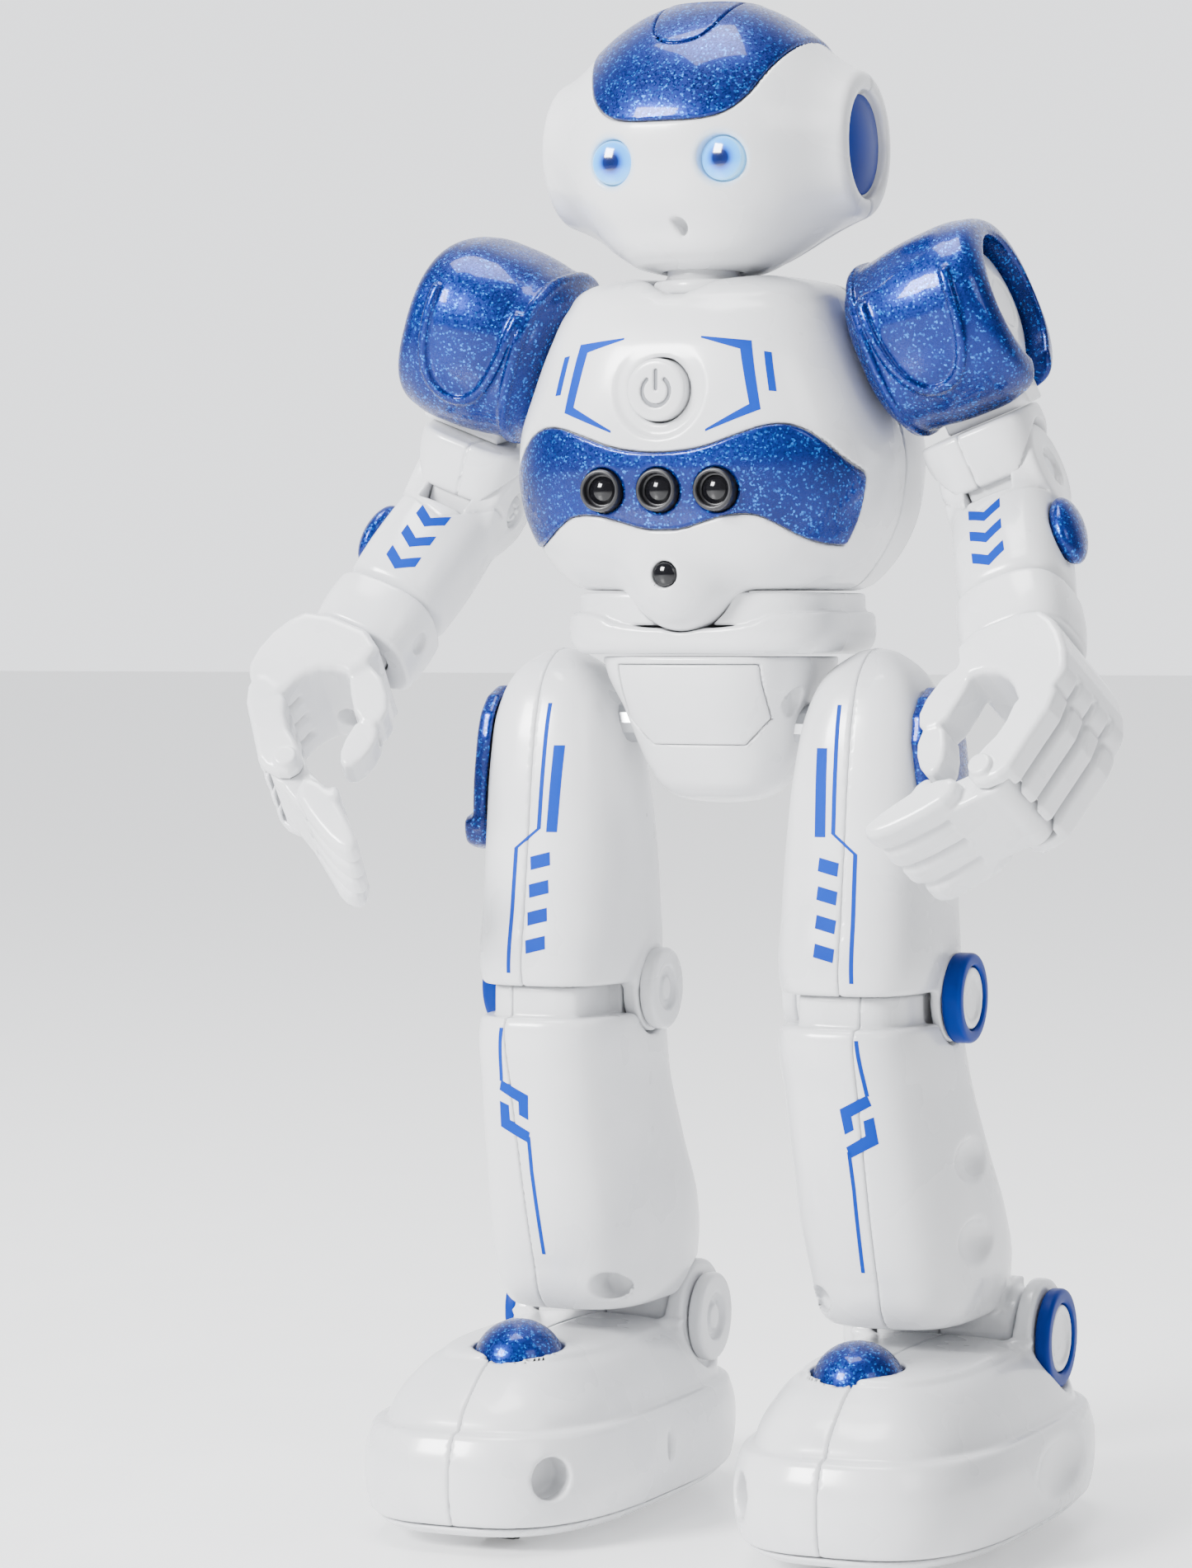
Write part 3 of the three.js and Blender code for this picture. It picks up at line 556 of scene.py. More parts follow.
def add_noise(nodes, links, scale, detail=3.0):
    place = nodes.new("ShaderNodeTexCoord")
    noise = nodes.new("ShaderNodeTexNoise")
    noise.inputs["Scale"].default_value = scale
    noise.inputs["Detail"].default_value = detail
    links.new(place.outputs["Object"], noise.inputs["Vector"])
    return noise


def ramp_between(nodes, links, source, low, high, start=0.35, end=0.65):
    ramp = nodes.new("ShaderNodeValToRGB")
    ramp.color_ramp.elements[0].position = start
    ramp.color_ramp.elements[1].position = end
    ramp.color_ramp.elements[0].color = (*low, 1)
    ramp.color_ramp.elements[1].color = (*high, 1)
    links.new(source, ramp.inputs["Fac"])
    return ramp


def vary_roughness(nodes, links, shader, source, low, high):
    spread = nodes.new("ShaderNodeMapRange")
    spread.inputs["To Min"].default_value = low
    spread.inputs["To Max"].default_value = high
    links.new(source, spread.inputs["Value"])
    links.new(spread.outputs["Result"], shader.inputs["Roughness"])


def add_bump(nodes, links, shader, source, strength, distance):
    bump = nodes.new("ShaderNodeBump")
    bump.inputs["Strength"].default_value = strength
    bump.inputs["Distance"].default_value = distance
    links.new(source, bump.inputs["Height"])
    links.new(bump.outputs["Normal"], shader.inputs["Normal"])


def moulded(name, low, high, roughness=(0.22, 0.34), coat=0.25, grain=0.06, metallic=0.0, shine=0.5):
    """Injection-moulded plastic: faint colour drift, a fine grain and a soft gloss."""
    material, nodes, links, shader = new_material(name)
    drift = add_noise(nodes, links, 45)
    fine = add_noise(nodes, links, 1800, 2)
    colour = ramp_between(nodes, links, drift.outputs["Fac"], low, high)
    links.new(colour.outputs["Color"], shader.inputs["Base Color"])
    vary_roughness(nodes, links, shader, drift.outputs["Fac"], *roughness)
    add_bump(nodes, links, shader, fine.outputs["Fac"], grain, 0.00005)
    shader.inputs["Coat Weight"].default_value = coat
    shader.inputs["Coat Roughness"].default_value = 0.12
    shader.inputs["Specular IOR Level"].default_value = shine
    shader.inputs["Metallic"].default_value = metallic
    return material


def glitter(name, deep, bright, flake, flake_size=0.32):
    """Clear gloss over a deep blue with fine metallic flakes, each at its own slant."""
    material, nodes, links, shader = new_material(name)
    place = nodes.new("ShaderNodeTexCoord")
    cells = nodes.new("ShaderNodeTexVoronoi")
    cells.inputs["Scale"].default_value = 1 / (flake_size * MM)
    links.new(place.outputs["Object"], cells.inputs["Vector"])
    split = nodes.new("ShaderNodeSeparateColor")
    links.new(cells.outputs["Color"], split.inputs["Color"])
    drift = add_noise(nodes, links, 60)
    ground = ramp_between(nodes, links, drift.outputs["Fac"], deep, bright, 0.3, 0.7)
    sparkle = nodes.new("ShaderNodeValToRGB")
    sparkle.color_ramp.elements[0].position = 0.84
    sparkle.color_ramp.elements[0].color = (0, 0, 0, 1)
    sparkle.color_ramp.elements[1].position = 1.0
    sparkle.color_ramp.elements[1].color = (0.8, 0.8, 0.8, 1)
    links.new(split.outputs["Red"], sparkle.inputs["Fac"])
    mix = nodes.new("ShaderNodeMix")
    mix.data_type = "RGBA"
    links.new(sparkle.outputs["Color"], mix.inputs["Factor"])
    links.new(ground.outputs["Color"], mix.inputs["A"])
    mix.inputs["B"].default_value = (*flake, 1)
    links.new(mix.outputs["Result"], shader.inputs["Base Color"])
    vary_roughness(nodes, links, shader, split.outputs["Green"], 0.18, 0.5)
    add_bump(nodes, links, shader, split.outputs["Blue"], 0.4, 0.00008)
    shader.inputs["Metallic"].default_value = 0.6
    shader.inputs["Specular IOR Level"].default_value = 0.3
    shader.inputs["Coat Weight"].default_value = 0.3
    shader.inputs["Coat Roughness"].default_value = 0.05
    return material


def radial(name, centre, stops, reach, glow=0.0, roughness=0.12, flatten=(1, 1, 1)):
    """Colour by distance from a centre, in metres: stops are (part of the reach, colour)."""
    material, nodes, links, shader = new_material(name)
    place = nodes.new("ShaderNodeTexCoord")
    shift = nodes.new("ShaderNodeVectorMath")
    shift.operation = "SUBTRACT"
    shift.inputs[1].default_value = centre
    squash = nodes.new("ShaderNodeVectorMath")
    squash.operation = "MULTIPLY"
    squash.inputs[1].default_value = flatten
    length = nodes.new("ShaderNodeVectorMath")
    length.operation = "LENGTH"
    links.new(place.outputs["Object"], shift.inputs[0])
    links.new(shift.outputs["Vector"], squash.inputs[0])
    links.new(squash.outputs["Vector"], length.inputs[0])
    part = nodes.new("ShaderNodeMapRange")
    part.inputs["From Max"].default_value = reach
    links.new(length.outputs["Value"], part.inputs["Value"])
    ramp = nodes.new("ShaderNodeValToRGB")
    elements = ramp.color_ramp.elements
    for _ in stops[2:]:
        elements.new(0.5)
    for element, (position, colour) in zip(elements, stops):
        element.position = position
        element.color = (*colour, 1)
    links.new(part.outputs["Result"], ramp.inputs["Fac"])
    links.new(ramp.outputs["Color"], shader.inputs["Base Color"])
    if glow:
        links.new(ramp.outputs["Color"], shader.inputs["Emission Color"])
        shader.inputs["Emission Strength"].default_value = glow
    fine = add_noise(nodes, links, 2500, 1)
    add_bump(nodes, links, shader, fine.outputs["Fac"], 0.03, 0.00003)
    shader.inputs["Roughness"].default_value = roughness
    shader.inputs["Coat Weight"].default_value = 1.0
    return material


WHITE = moulded("white_plastic", (0.68, 0.69, 0.71), (0.75, 0.755, 0.77), coat=0.5)
BLUE = moulded("blue_plastic", (0.0, 0.02, 0.2), (0.0, 0.028, 0.27), roughness=(0.34, 0.44), coat=0.0,
               shine=0.1)
DECAL = moulded("decal_blue", (0.0, 0.03, 0.3), (0.0, 0.042, 0.38), roughness=(0.5, 0.6), coat=0.0,
                shine=0.08)
GLITTER = glitter("glitter_blue", (0.0, 0.008, 0.1), (0.0, 0.018, 0.2), (0.0, 0.22, 0.9))
BLACK = moulded("black_gloss", (0.003, 0.003, 0.004), (0.006, 0.006, 0.008), roughness=(0.05, 0.1), coat=0.0)
# A grey used only as painted shade at the bottom of the power symbol's grooves.
GROOVE_SHADE_GREY = moulded("painted_groove_shade", (0.2, 0.21, 0.23), (0.28, 0.29, 0.31), roughness=(0.25, 0.4))
RUBBER = moulded("tyre_rubber", (0.012, 0.012, 0.012), (0.028, 0.028, 0.028), roughness=(0.6, 0.85),
                 coat=0.0, grain=0.4)
STEEL = moulded("turned_steel", (0.5, 0.51, 0.53), (0.62, 0.63, 0.65), roughness=(0.22, 0.4), metallic=1.0)
BOARD = moulded("circuit_green", (0.02, 0.16, 0.06), (0.03, 0.24, 0.09), roughness=(0.35, 0.5))
DARK = moulded("dark_sleeve", (0.008, 0.008, 0.01), (0.016, 0.016, 0.02), roughness=(0.3, 0.45), coat=0.1)

# Each look is a material with its slot.
SHELL = (WHITE, "white_shell")
COVER = (GLITTER, "glitter_blue")
TRIM = (BLUE, "blue_trim")
MARK = (DECAL, "blue_trim")
PIN_LOOK = (STEEL, "pin_steel")
TYRE = (RUBBER, "tyre_rubber")


def add_sided(side, word, name, shape, look, body, node=None, place=TORSO_PLACE):
    """One side's piece of a limb. Its name, body and CAD node all end in the side's word."""
    material, slot = look
    nodes = [f"{node}_{word}"] if node else []
    smooth = look is not MARK
    add_piece(f"{name}_{word}", sided(shape, side), material, f"{body}_{word}", nodes, place, smooth)


# ---------------------------------------------------------------- head
def head_skin():
    def cone(x, y, z):
        radius = np.minimum(16.6 - (np.abs(x) - 16) * 0.37, 20)
        return (np.sqrt((y - EAR[0]) ** 2 + (z - EAR[1]) ** 2) - radius) * 0.93

    ear_cone = both(cone, slab(0, -EAR_RIM, EAR_RIM), blend=1.6)
    return join(loft(HEAD_ROWS, 2.3, edge=0.6), ear_cone, blend=3.5)


VISOR_HALF = [
    (0, 242.9), (6.5, 242.9), (11, 244), (14.2, 247.2), (15.8, 251), (17.6, 254.8), (18.8, 258), (19.2, 273),
]
VISOR_OUTLINE = softened(VISOR_HALF + [(-x, z) for x, z in VISOR_HALF[:0:-1]], 2)
TONGUE = softened([
    (-7.5, 275), (-6.8, 262.6), (-4.6, 257.4), (0, 256.2), (4.6, 257.4), (6.8, 262.6), (7.5, 275),
], 3)


def eye_round(radius):
    return lambda x, y, z: np.sqrt((x - EYE[0]) ** 2 + (z - EYE[1]) ** 2) - radius


def build_head():
    skin = head_skin()
    visor_field = outline(VISOR_OUTLINE)
    visor_back = 15.0
    slot = both(grown(visor_field, 0.25), slab(1, -FAR, visor_back + 0.25), cut_below(skin, 1.1), blend=0.15)
    ear_seat = both(bar(0, 9.2, 26.0, FAR, EAR), slab(0, 0, FAR), blend=0.1)
    eye_hole = both(
        eye_round(3.95),
        slab(1, -FAR, -16),
        blend=0.4,
    )
    mouth = both(
        ball((1.0, -18.6, 225.2), (1.7, 3.4, 1.7)),
        lambda x, y, z: -0.86 * (x - 0.5) - 0.5 * (z - 225.4),
        blend=0.3,
    )
    neck_hole = bar(2, 6.8, 200, 222, (0, NECK_Y))
    shell = cut(skin, slot, blend=0.3)
    shell = cut(shell, both_sides(ear_seat), both_sides(eye_hole), blend=0.9)
    shell = cut(shell, mouth, neck_hole, blend=0.5)
    low = (-30, -25, 216)
    front = surface_net(both(shell, slab(1, -FAR, 3 - SEAM), blend=0.3), low, (30, 4.5, 268), 0.45)
    back = surface_net(both(shell, slab(1, 3 + SEAM, FAR), blend=0.3), (-30, 1.5, 216), (30, 28, 268), 0.55)
    add_piece("head_front", front, FACE, "head", ["head_front_shell"])
    add_piece("head_back", back, WHITE, "head", ["head_back_shell"])

    visor = both(grown(skin, 0.35), visor_field, slab(1, -FAR, visor_back), cut_below(skin, 0.9), blend=0.5)
    tongue_line = both(
        line_along(TONGUE, 0.2),
        cut_below(skin, 0.25),
        slab(1, -FAR, 6),
        blend=0.1,
    )
    visor = cut(visor, tongue_line, blend=0.15)
    add_piece("visor", surface_net(visor, (-21, -25, 241), (21, 16.5, 267), 0.32), GLITTER, "head",
              ["head_visor"])

    disc = both(bar(0, 8.75, 26.2, 40, EAR), ball((-4.6, *EAR), (32.4, 32.4, 32.4)), blend=0.5)
    ear = surface_net(disc, (25.5, -9, 230), (29.2, 12, 250), 0.3)
    lens = both(
        eye_round(3.7),
        ball((EYE[0], -12.6, EYE[1]), (9.2, 9.2, 9.2)),
        slab(1, -FAR, -15.5),
        blend=0.4,
    )
    eye = surface_net(lens, (5.5, -24, 231.5), (14.5, -14.5, 241.5), 0.22)
    for side, word in SIDES:
        add_piece(f"ear_{word}", sided(ear, side), BLUE, "head", [f"ear_disc_{word}"])
        add_piece(f"eye_{word}", sided(eye, side), EYES[side], "head", [f"eye_lens_{word}"])


def eye_material(side):
    centre = (side * EYE[0] * MM, (EYE_FRONT - MIDDLE_Y) * MM, EYE[1] * MM)
    stops = [
        (0.0, (0.001, 0.006, 0.05)), (0.34, (0.001, 0.01, 0.1)), (0.46, (0.002, 0.1, 0.6)),
        (0.64, (0.01, 0.32, 1.0)), (0.86, (0.05, 0.42, 1.0)), (1.0, (0.3, 0.7, 1.0)),
    ]
    return radial(f"eye_glow_{'left' if side > 0 else 'right'}", centre, stops, 3.9 * MM, glow=0.6)


EYES = {side: eye_material(side) for side in (1, -1)}


def face_material():
    """The white shell with the eyes' light falling on it around each eye."""
    material = WHITE.copy()
    material.name = "white_plastic_face"
    nodes = material.node_tree.nodes
    links = material.node_tree.links
    shader = nodes["Principled BSDF"]
    place = nodes.new("ShaderNodeTexCoord")
    halo = None
    for side in (1, -1):
        apart = nodes.new("ShaderNodeVectorMath")
        apart.operation = "DISTANCE"
        apart.inputs[1].default_value = (side * EYE[0] * MM, (EYE_FRONT - MIDDLE_Y) * MM, EYE[1] * MM)
        links.new(place.outputs["Object"], apart.inputs[0])
        fade = nodes.new("ShaderNodeMapRange")
        fade.interpolation_type = "SMOOTHSTEP"
        fade.inputs["From Min"].default_value = 3.4 * MM
        fade.inputs["From Max"].default_value = 5.6 * MM
        fade.inputs["To Min"].default_value = 0.6
        fade.inputs["To Max"].default_value = 0.0
        links.new(apart.outputs["Value"], fade.inputs["Value"])
        if halo is None:
            halo = fade.outputs["Result"]
        else:
            top = nodes.new("ShaderNodeMath")
            top.operation = "MAXIMUM"
            links.new(halo, top.inputs[0])
            links.new(fade.outputs["Result"], top.inputs[1])
            halo = top.outputs["Value"]
    mix = nodes.new("ShaderNodeMix")
    mix.data_type = "RGBA"
    plain = shader.inputs["Base Color"].links[0].from_socket
    links.new(halo, mix.inputs["Factor"])
    links.new(plain, mix.inputs["A"])
    mix.inputs["B"].default_value = (0.3, 0.62, 1.0, 1)
    links.new(mix.outputs["Result"], shader.inputs["Base Color"])
    return material


FACE = face_material()


# ---------------------------------------------------------------- torso
def chest_skin():
    wall = lambda x, y, z: (np.abs(x) - SHOULDER[0]) * 0.934 + (z - SHOULDER[2]) * 0.358 + 12.1
    body = both(loft(CHEST_ROWS, 3.0, edge=2.0), wall, blend=3.0)
    return join(body, ball(BELLY, BELLY_RADII), blend=4.0)


BAND_HALF = [
    (0, 186.8), (7.6, 187.5), (14, 189.8), (19, 191.5), (22.8, 191.5), (26.6, 189.4), (31.8, 183.2),
    (38, 177), (38, 171.4), (27.4, 171.4), (24, 172.3), (19.5, 175.2), (16.5, 176.7), (12, 176.7),
    (7, 175.3), (3.4, 174.2), (0, 174.1),
]
BAND_END = -9.8
BAND_OUTLINE = BAND_HALF + [(-x, z) for x, z in BAND_HALF[-2:0:-1]]


def build_chest():
    skin = chest_skin()
    band_field = outline(softened(BAND_OUTLINE, 2))
    slot = both(grown(band_field, 0.22), slab(1, -FAR, BAND_END + 0.22), cut_below(skin, 1.1), blend=0.15)
    neck_dish = both(bar(2, 10.2, 215.2, 240, (0, NECK_Y)), slab(2, 215.2, 240), blend=0.5)
    neck_hole = bar(2, 6.6, 200, 240, (0, NECK_Y))
    scoop = prism(softened([(-9, 240), (-6.5, 214.4), (6.5, 214.4), (9, 240)]), 9, middle=-17)
    button_dish = bar(1, 7.8, -FAR, -24.1, (0, BUTTON_Z))
    button_hole = bar(1, 5.6, -FAR, -18, (0, BUTTON_Z))
    led_hole = bar(1, 2.3, -FAR, -18, (0, LED_Z))
    shell = cut(skin, neck_dish, scoop, blend=2.5)
    shell = cut(shell, button_dish, blend=1.0)
    shell = cut(shell, slot, neck_hole, button_hole, led_hole, blend=0.35)
    for step in (-1, 0, 1):
        shell = cut(shell, bar(1, 3.9, -FAR, -20, (step * SENSOR_SPACING, SENSOR_Z)), blend=0.3)
    front_shell = both(shell, slab(1, -FAR, 6 - SEAM), blend=0.3)
    back_shell = both(cut(shell, *back_details(skin), blend=0.2), slab(1, 6 + SEAM, FAR), blend=0.3)
    front = surface_net(front_shell, (-35, -27, 155), (35, 7.2, 220), 0.5)
    back = surface_net(back_shell, (-35, 4.8, 161), (35, 37, 220), 0.5)
    add_piece("chest_front", front, WHITE, "torso", ["chest_front_shell"])
    add_piece("chest_back", back, WHITE, "torso", ["chest_back_shell"])

    band = both(grown(skin, 0.3), band_field, slab(1, -FAR, BAND_END), cut_below(skin, 0.8), blend=0.5)
    for step in (-1, 0, 1):
        band = cut(band, bar(1, 3.75, -FAR, 0, (step * SENSOR_SPACING, SENSOR_Z)), blend=0.5)
    band_shape = surface_net(band, (-36, -27, 169), (36, -8.4, 193), 0.34)
    add_piece("chest_band_cover", band_shape, GLITTER, "torso", ["chest_band"])
    build_sensors()
    build_button()
    chest_decals(skin)


def back_details(skin):
    """Cuts on the back: the battery door's line and catch, speaker holes and screw holes."""
    door = softened([(-15, 172), (15, 172), (15, 203), (-15, 203)], 2)
    door_line = both(line_along(door, 0.3), cut_below(skin, 0.9), slab(1, 10, FAR), blend=0.1)
    catch = both(ball((0, 37, 199.5), (5, 4, 1.8)), slab(1, 10, FAR), blend=0.2)
    details = [door_line, catch]
    for x in (-24, 24):
        for z in (177, 205):
            details.append(bar(1, 1.9, 22, FAR, (x * (1 if z < 190 else 0.8), z)))
    for i, j in itertools.product(range(5), range(2)):
        details.append(bar(1, 0.75, 20, FAR, ((i - 2) * 3.2, 207.6 + j * 2.8)))
    return details


def build_sensors():
    ring = cut(bar(1, 3.6, -26.2, -20, (0, 0), edge=0.5), bar(1, 2.85, -30, -24.6, (0, 0)), blend=0.3)
    ring_shape = surface_net(ring, (-4.4, -27.4, -4.4), (4.4, -19.4, 4.4), 0.22)
    glass = both(ball((0, -21.6, 0), (3.9, 3.9, 3.9)), bar(1, 2.7, -30, -22.6, (0, 0)), blend=0.3)
    glass_shape = surface_net(glass, (-3.4, -26.4, -3.4), (3.4, -21, 3.4), 0.2)
    for word, step in (("right", -1), ("centre", 0), ("left", 1)):
        shift = np.array([step * SENSOR_SPACING, 0.15 * abs(step), SENSOR_Z])
        moved_ring = (ring_shape[0] + shift, ring_shape[1])
        moved_glass = (glass_shape[0] + shift, glass_shape[1])
        add_piece(f"sensor_ring_{word}", moved_ring, DARK, "torso", [f"sensor_lens_{word}"])
        add_piece(f"sensor_glass_{word}", moved_glass, BLACK, "torso")
    led = both(bar(1, 2.1, -23.2, -18, (0, LED_Z), edge=0.5),
               ball((0, -19.6, LED_Z), (3.4, 3.0, 3.4)), blend=0.4)
    led_shape = surface_net(led, (-3, -24, 163), (3, -17, 170), 0.2)
    add_piece("infrared_dome", led_shape, BLACK, "torso", ["infrared_led"])


def build_button():
    face_y = -26.0
    crown = ball((0, 3.6, BUTTON_Z), (30, 30, 30))
    cap = both(bar(1, 5.25, face_y, -21, (0, BUTTON_Z), edge=0.9), crown, blend=0.4)
    angles = [math.radians(a) for a in range(-230, 51, 20)]
    arc = [(2.5 * math.cos(a), BUTTON_Z - 0.2 + 2.5 * math.sin(a)) for a in angles]
    stem = [(0, BUTTON_Z + 0.2), (0, BUTTON_Z + 3.2)]
    symbol = both(
        join(stroke(arc, 0.36), stroke(stem, 0.36), blend=0.1),
        slab(1, -FAR, face_y + 0.75),
        blend=0.1,
    )
    button = cut(cap, symbol, blend=0.25)
    shape = surface_net(button, (-6, -27.4, 191), (6, -20.4, 204), 0.22)
    add_piece("power_button_cap", shape, WHITE, "button", ["power_button"])
    # Painted shade: a grey piece at the bottom of the symbol's grooves stands for the shade in them. The
    # symbol itself is the cap's white.
    fill = both(
        join(stroke(arc, 0.42), stroke(stem, 0.42), blend=0.1),
        slab(1, face_y + 0.5, face_y + 1.3),
        blend=0.1,
    )
    groove_shade_shape = surface_net(fill, (-4, -26.2, 194), (4, -24, 202), 0.18)
    add_piece("power_symbol_painted_shade", groove_shade_shape, GROOVE_SHADE_GREY, "button")


def chest_decals(skin):
    outer = [(7, 206.5), (15.6, 205.6), (17.9, 194.0), (8.6, 190.4)]
    inner = [(7, 206.2), (13.9, 204.2), (16.0, 194.9), (8.6, 190.8)]
    patches = [(outer[i], outer[i + 1], inner[i + 1], inner[i]) for i in range(3)]
    patches.append([(17.7, 203.8), (18.9, 203.6), (20.2, 197.0), (19.0, 197.1)])
    shape = decal(patches, skin)
    for side, word in SIDES:
        add_piece(f"chest_mark_{word}", sided(shape, side), DECAL, "torso", smooth=False)


def build_neck():
    collar = bar(2, 8.6, 214.4, 217.0, (0, NECK_Y), edge=1.2)
    post = join(bar(2, 6.2, 203, 223.6, (0, NECK_Y)), collar, blend=1.2)
    ring = bar(2, 9, 203, 206, (0, NECK_Y))
    shape = surface_net(join(post, ring, blend=0.5), (-10, -15, 202), (10, 6, 225), 0.35)
    add_piece("neck", shape, WHITE, "torso", ["neck_post"])


def build_waist():
    lower = loft([(153, 0, 5, 23.4, 18.8), (155, 0, 5, 24.4, 19.8), (160.4, 0, 5, 24.6, 20)], 4, edge=1.4)
    upper = loft([(158, 0, 5, 23.2, 18.6), (163.6, 0, 5, 23, 18.4)], 4, edge=0.8)
    notch = prism(softened([(-25, 170), (-25, 160.4), (-17, 160.4), (-11, 157.4), (11, 157.4), (17, 160.4),
                            (25, 160.4), (25, 170)], 2), 10, middle=-16)
    belt = join(cut(lower, notch, blend=0.8), upper, blend=0.4)
    belt = cut(belt, grown(ball(BELLY, BELLY_RADII), 0.35), blend=0.3)
    belt_shape = surface_net(belt, (-26, -16, 152), (26, 26, 165), 0.42)
    add_piece("belt", belt_shape, WHITE, "torso", ["waist_belt"])

    skin = loft(PELVIS_ROWS, 3, edge=0.8)
    flap_points = [(-12.9, 156), (-12.9, 142), (-8.5, 137.5), (8.5, 137.5), (12.9, 142), (12.9, 156)]
    flap = outline(flap_points)
    ahead = slab(1, -FAR, 0)
    flap_slot = both(grown(flap, 0.14), slab(2, 0, 151.4), ahead, cut_below(skin, 0.8), blend=0.1)
    screw_hole = bar(0, 2.6, 14.6, 30, (-2.6, 144.8))
    shell = cut(skin, flap_slot, both_sides(screw_hole), blend=0.25)
    pelvis_shape = surface_net(shell, (-21, -15, 125.5), (21, 23, 154), 0.42)
    add_piece("pelvis", pelvis_shape, WHITE, "torso", ["pelvis_shell"])
    panel = both(grown(skin, 0.05), flap, slab(2, 0, 151.2), ahead, cut_below(skin, 0.75), blend=0.3)
    panel_shape = surface_net(panel, (-14, -15, 136), (14, 1.5, 152.4), 0.34)
    add_piece("pelvis_panel", panel_shape, WHITE, "torso", ["pelvis_front_panel"])


# ---------------------------------------------------------------- arms
POD_ROWS = [
    (-11.9, 0, 0, 11.0, 11.0),
    (-9.8, 0, 0, 14.2, 13.8),
    (-4, 0, 0, 16.0, 15.6),
    (4, 0, 0, 16.9, 16.4),
    (10, 0, 0, 16.6, 16.0),
    (13.8, 0, 0, 14.8, 14.2),
    (14.8, 0, 0, 13.4, 12.8),
]


def pod_shape():
    barrel = loft(POD_ROWS, 2.5, edge=1.2)
    skin = lambda x, y, z: barrel(y, z, x)
    mouth = both(bar(0, 11.6, 4.2, 40, (0, 0)), slab(0, 4.2, 40), blend=0.4)
    stem_slot = prism(softened([(-5.2, -24), (24, -24), (24, -2), (-5.2, -2)], 1), 5.4, blend=0.6)
    panel = softened([(-6.6, 30), (-6.6, -9.0), (9.4, -9.0), (9.4, 30)], 3)
    ridge = both(
        line_along(panel, 0.75),
        lambda x, y, z: np.abs(skin(x, y, z)) - 0.95,
        slab(1, -FAR, -4),
        slab(2, -FAR, 9.5),
        blend=0.5,
    )
    rib = both(
        lambda x, y, z: np.abs(x + 8.4) - 0.8,
        lambda x, y, z: np.abs(skin(x, y, z)) - 0.8,
        blend=0.5,
    )
    shell = join(skin, ridge, rib, blend=0.6)
    shell = cut(shell, mouth, stem_slot, bar(0, 4.0, -30, 20, (0, 0)), blend=0.8)
    return surface_net(shell, (-13, -18.4, -18.6), (16, 18.4, 18.6), 0.42)


def hub_shape():
    disc = both(bar(0, 10.4, 4.8, 13.2, (0, 0), edge=1.4), ball((-18, 0, 0), (31, 31, 31)), blend=0.8)
    dimple = bar(0, 4.2, 12.3, 20, (0, 0))
    stem = prism([(-4.4, -17.2), (11, -17.2), (11, -3), (4.6, -3), (4.6, -6), (-4.4, -6)], 4.8, blend=1.0)
    shaft = bar(0, 3.6, -19, 6, (0, 0))
    hub = cut(join(disc, stem, shaft, blend=1.0), dimple, blend=0.6)
    return surface_net(hub, (-20, -11.6, -18.4), (14.2, 11.6, 11.6), 0.42)


def upper_arm_shape():
    cup = loft(UPPER_ARM_ROWS, 3.2, edge=1.0)
    seam = both(lambda x, y, z: np.abs(x + 1.5) - 0.16, cut_below(cup, 0.45), slab(1, -FAR, 0), blend=0.1)
    cup = cut(cup, bar(0, 8.8, -30, 30, (0, -UPPER_ARM)), blend=0.4)
    cup = cut(cup, seam, blend=0.15)
    neck = prism([(-4.1, -UPPER_ARM), (4.1, -UPPER_ARM), (4.1, -19), (-4.1, -19)], 6, blend=0.6)
    tongue = join(bar(0, 8.3, -4.1, 4.1, (0, -UPPER_ARM)), neck, blend=0.4)
    return surface_net(join(cup, tongue, blend=0.3), (-11, -11.6, -38), (11, 11.6, -16), 0.36)


def forearm_shape():
    body = loft(FOREARM_ROWS, 2.6, edge=3.0)
    elbow = bar(0, 8.3, -9, 9, (0, 0), edge=1.6)
    cuff = loft(CUFF_ROWS, 2.8, edge=0.9)
    whole = join(body, elbow, blend=2.0)
    whole = join(whole, cuff, blend=0.25)
    slot = both(slab(0, -4.4, 4.4), slab(2, -8.7, 30), blend=0.3)
    dome_seat = ball((10.4, 0.5, -15), (2.8, 5.5, 6.9))
    cap_ring = both(bar(0, 3.4, 8.0, 20, (0, 0)), slab(0, 8, 20), blend=0.2)
    screw_seat = bar(0, 3.2, -20, -8.2, (0, 0))
    cuff_hole = bar(0, 2.0, -20, -8.4, (-2.5, -33))
    bore = bar(2, 5.2, -50, -31, (0, 0))
    panel_line = both(
        stroke([(-9, -4), (-2, -11.5), (9, -8)], 0.16), slab(1, -FAR, 0), cut_below(whole, 0.4), blend=0.1)
    shell = cut(whole, slot, dome_seat, cap_ring, screw_seat, cuff_hole, bore, panel_line, blend=0.5)
    marks = []
    for i in range(3):
        marks += chevron_patches(-12.6 - i * 5.0)
    return surface_net(shell, (-11.4, -11.4, -39), (11.4, 11.4, 10), 0.4), decal(marks, whole)


def screw_shape():
    head = both(bar(0, 2.7, -9.2, -8.2, (0, 0)), ball((-5.4, 0, 0), (4.0, 4.0, 4.0)), blend=0.3)
    cross = join(
        both(slab(1, -0.35, 0.35), slab(2, -1.6, 1.6), slab(0, -20, -8.8), blend=0.1),
        both(slab(2, -0.35, 0.35), slab(1, -1.6, 1.6), slab(0, -20, -8.8), blend=0.1),
        blend=0.1,
    )
    shaft = bar(0, 2.2, -8.6, 8.6, (0, 0))
    screw = join(cut(head, cross, blend=0.1), shaft, blend=0.1)
    return surface_net(screw, (-10, -3.4, -3.4), (9.4, 3.4, 3.4), 0.24)


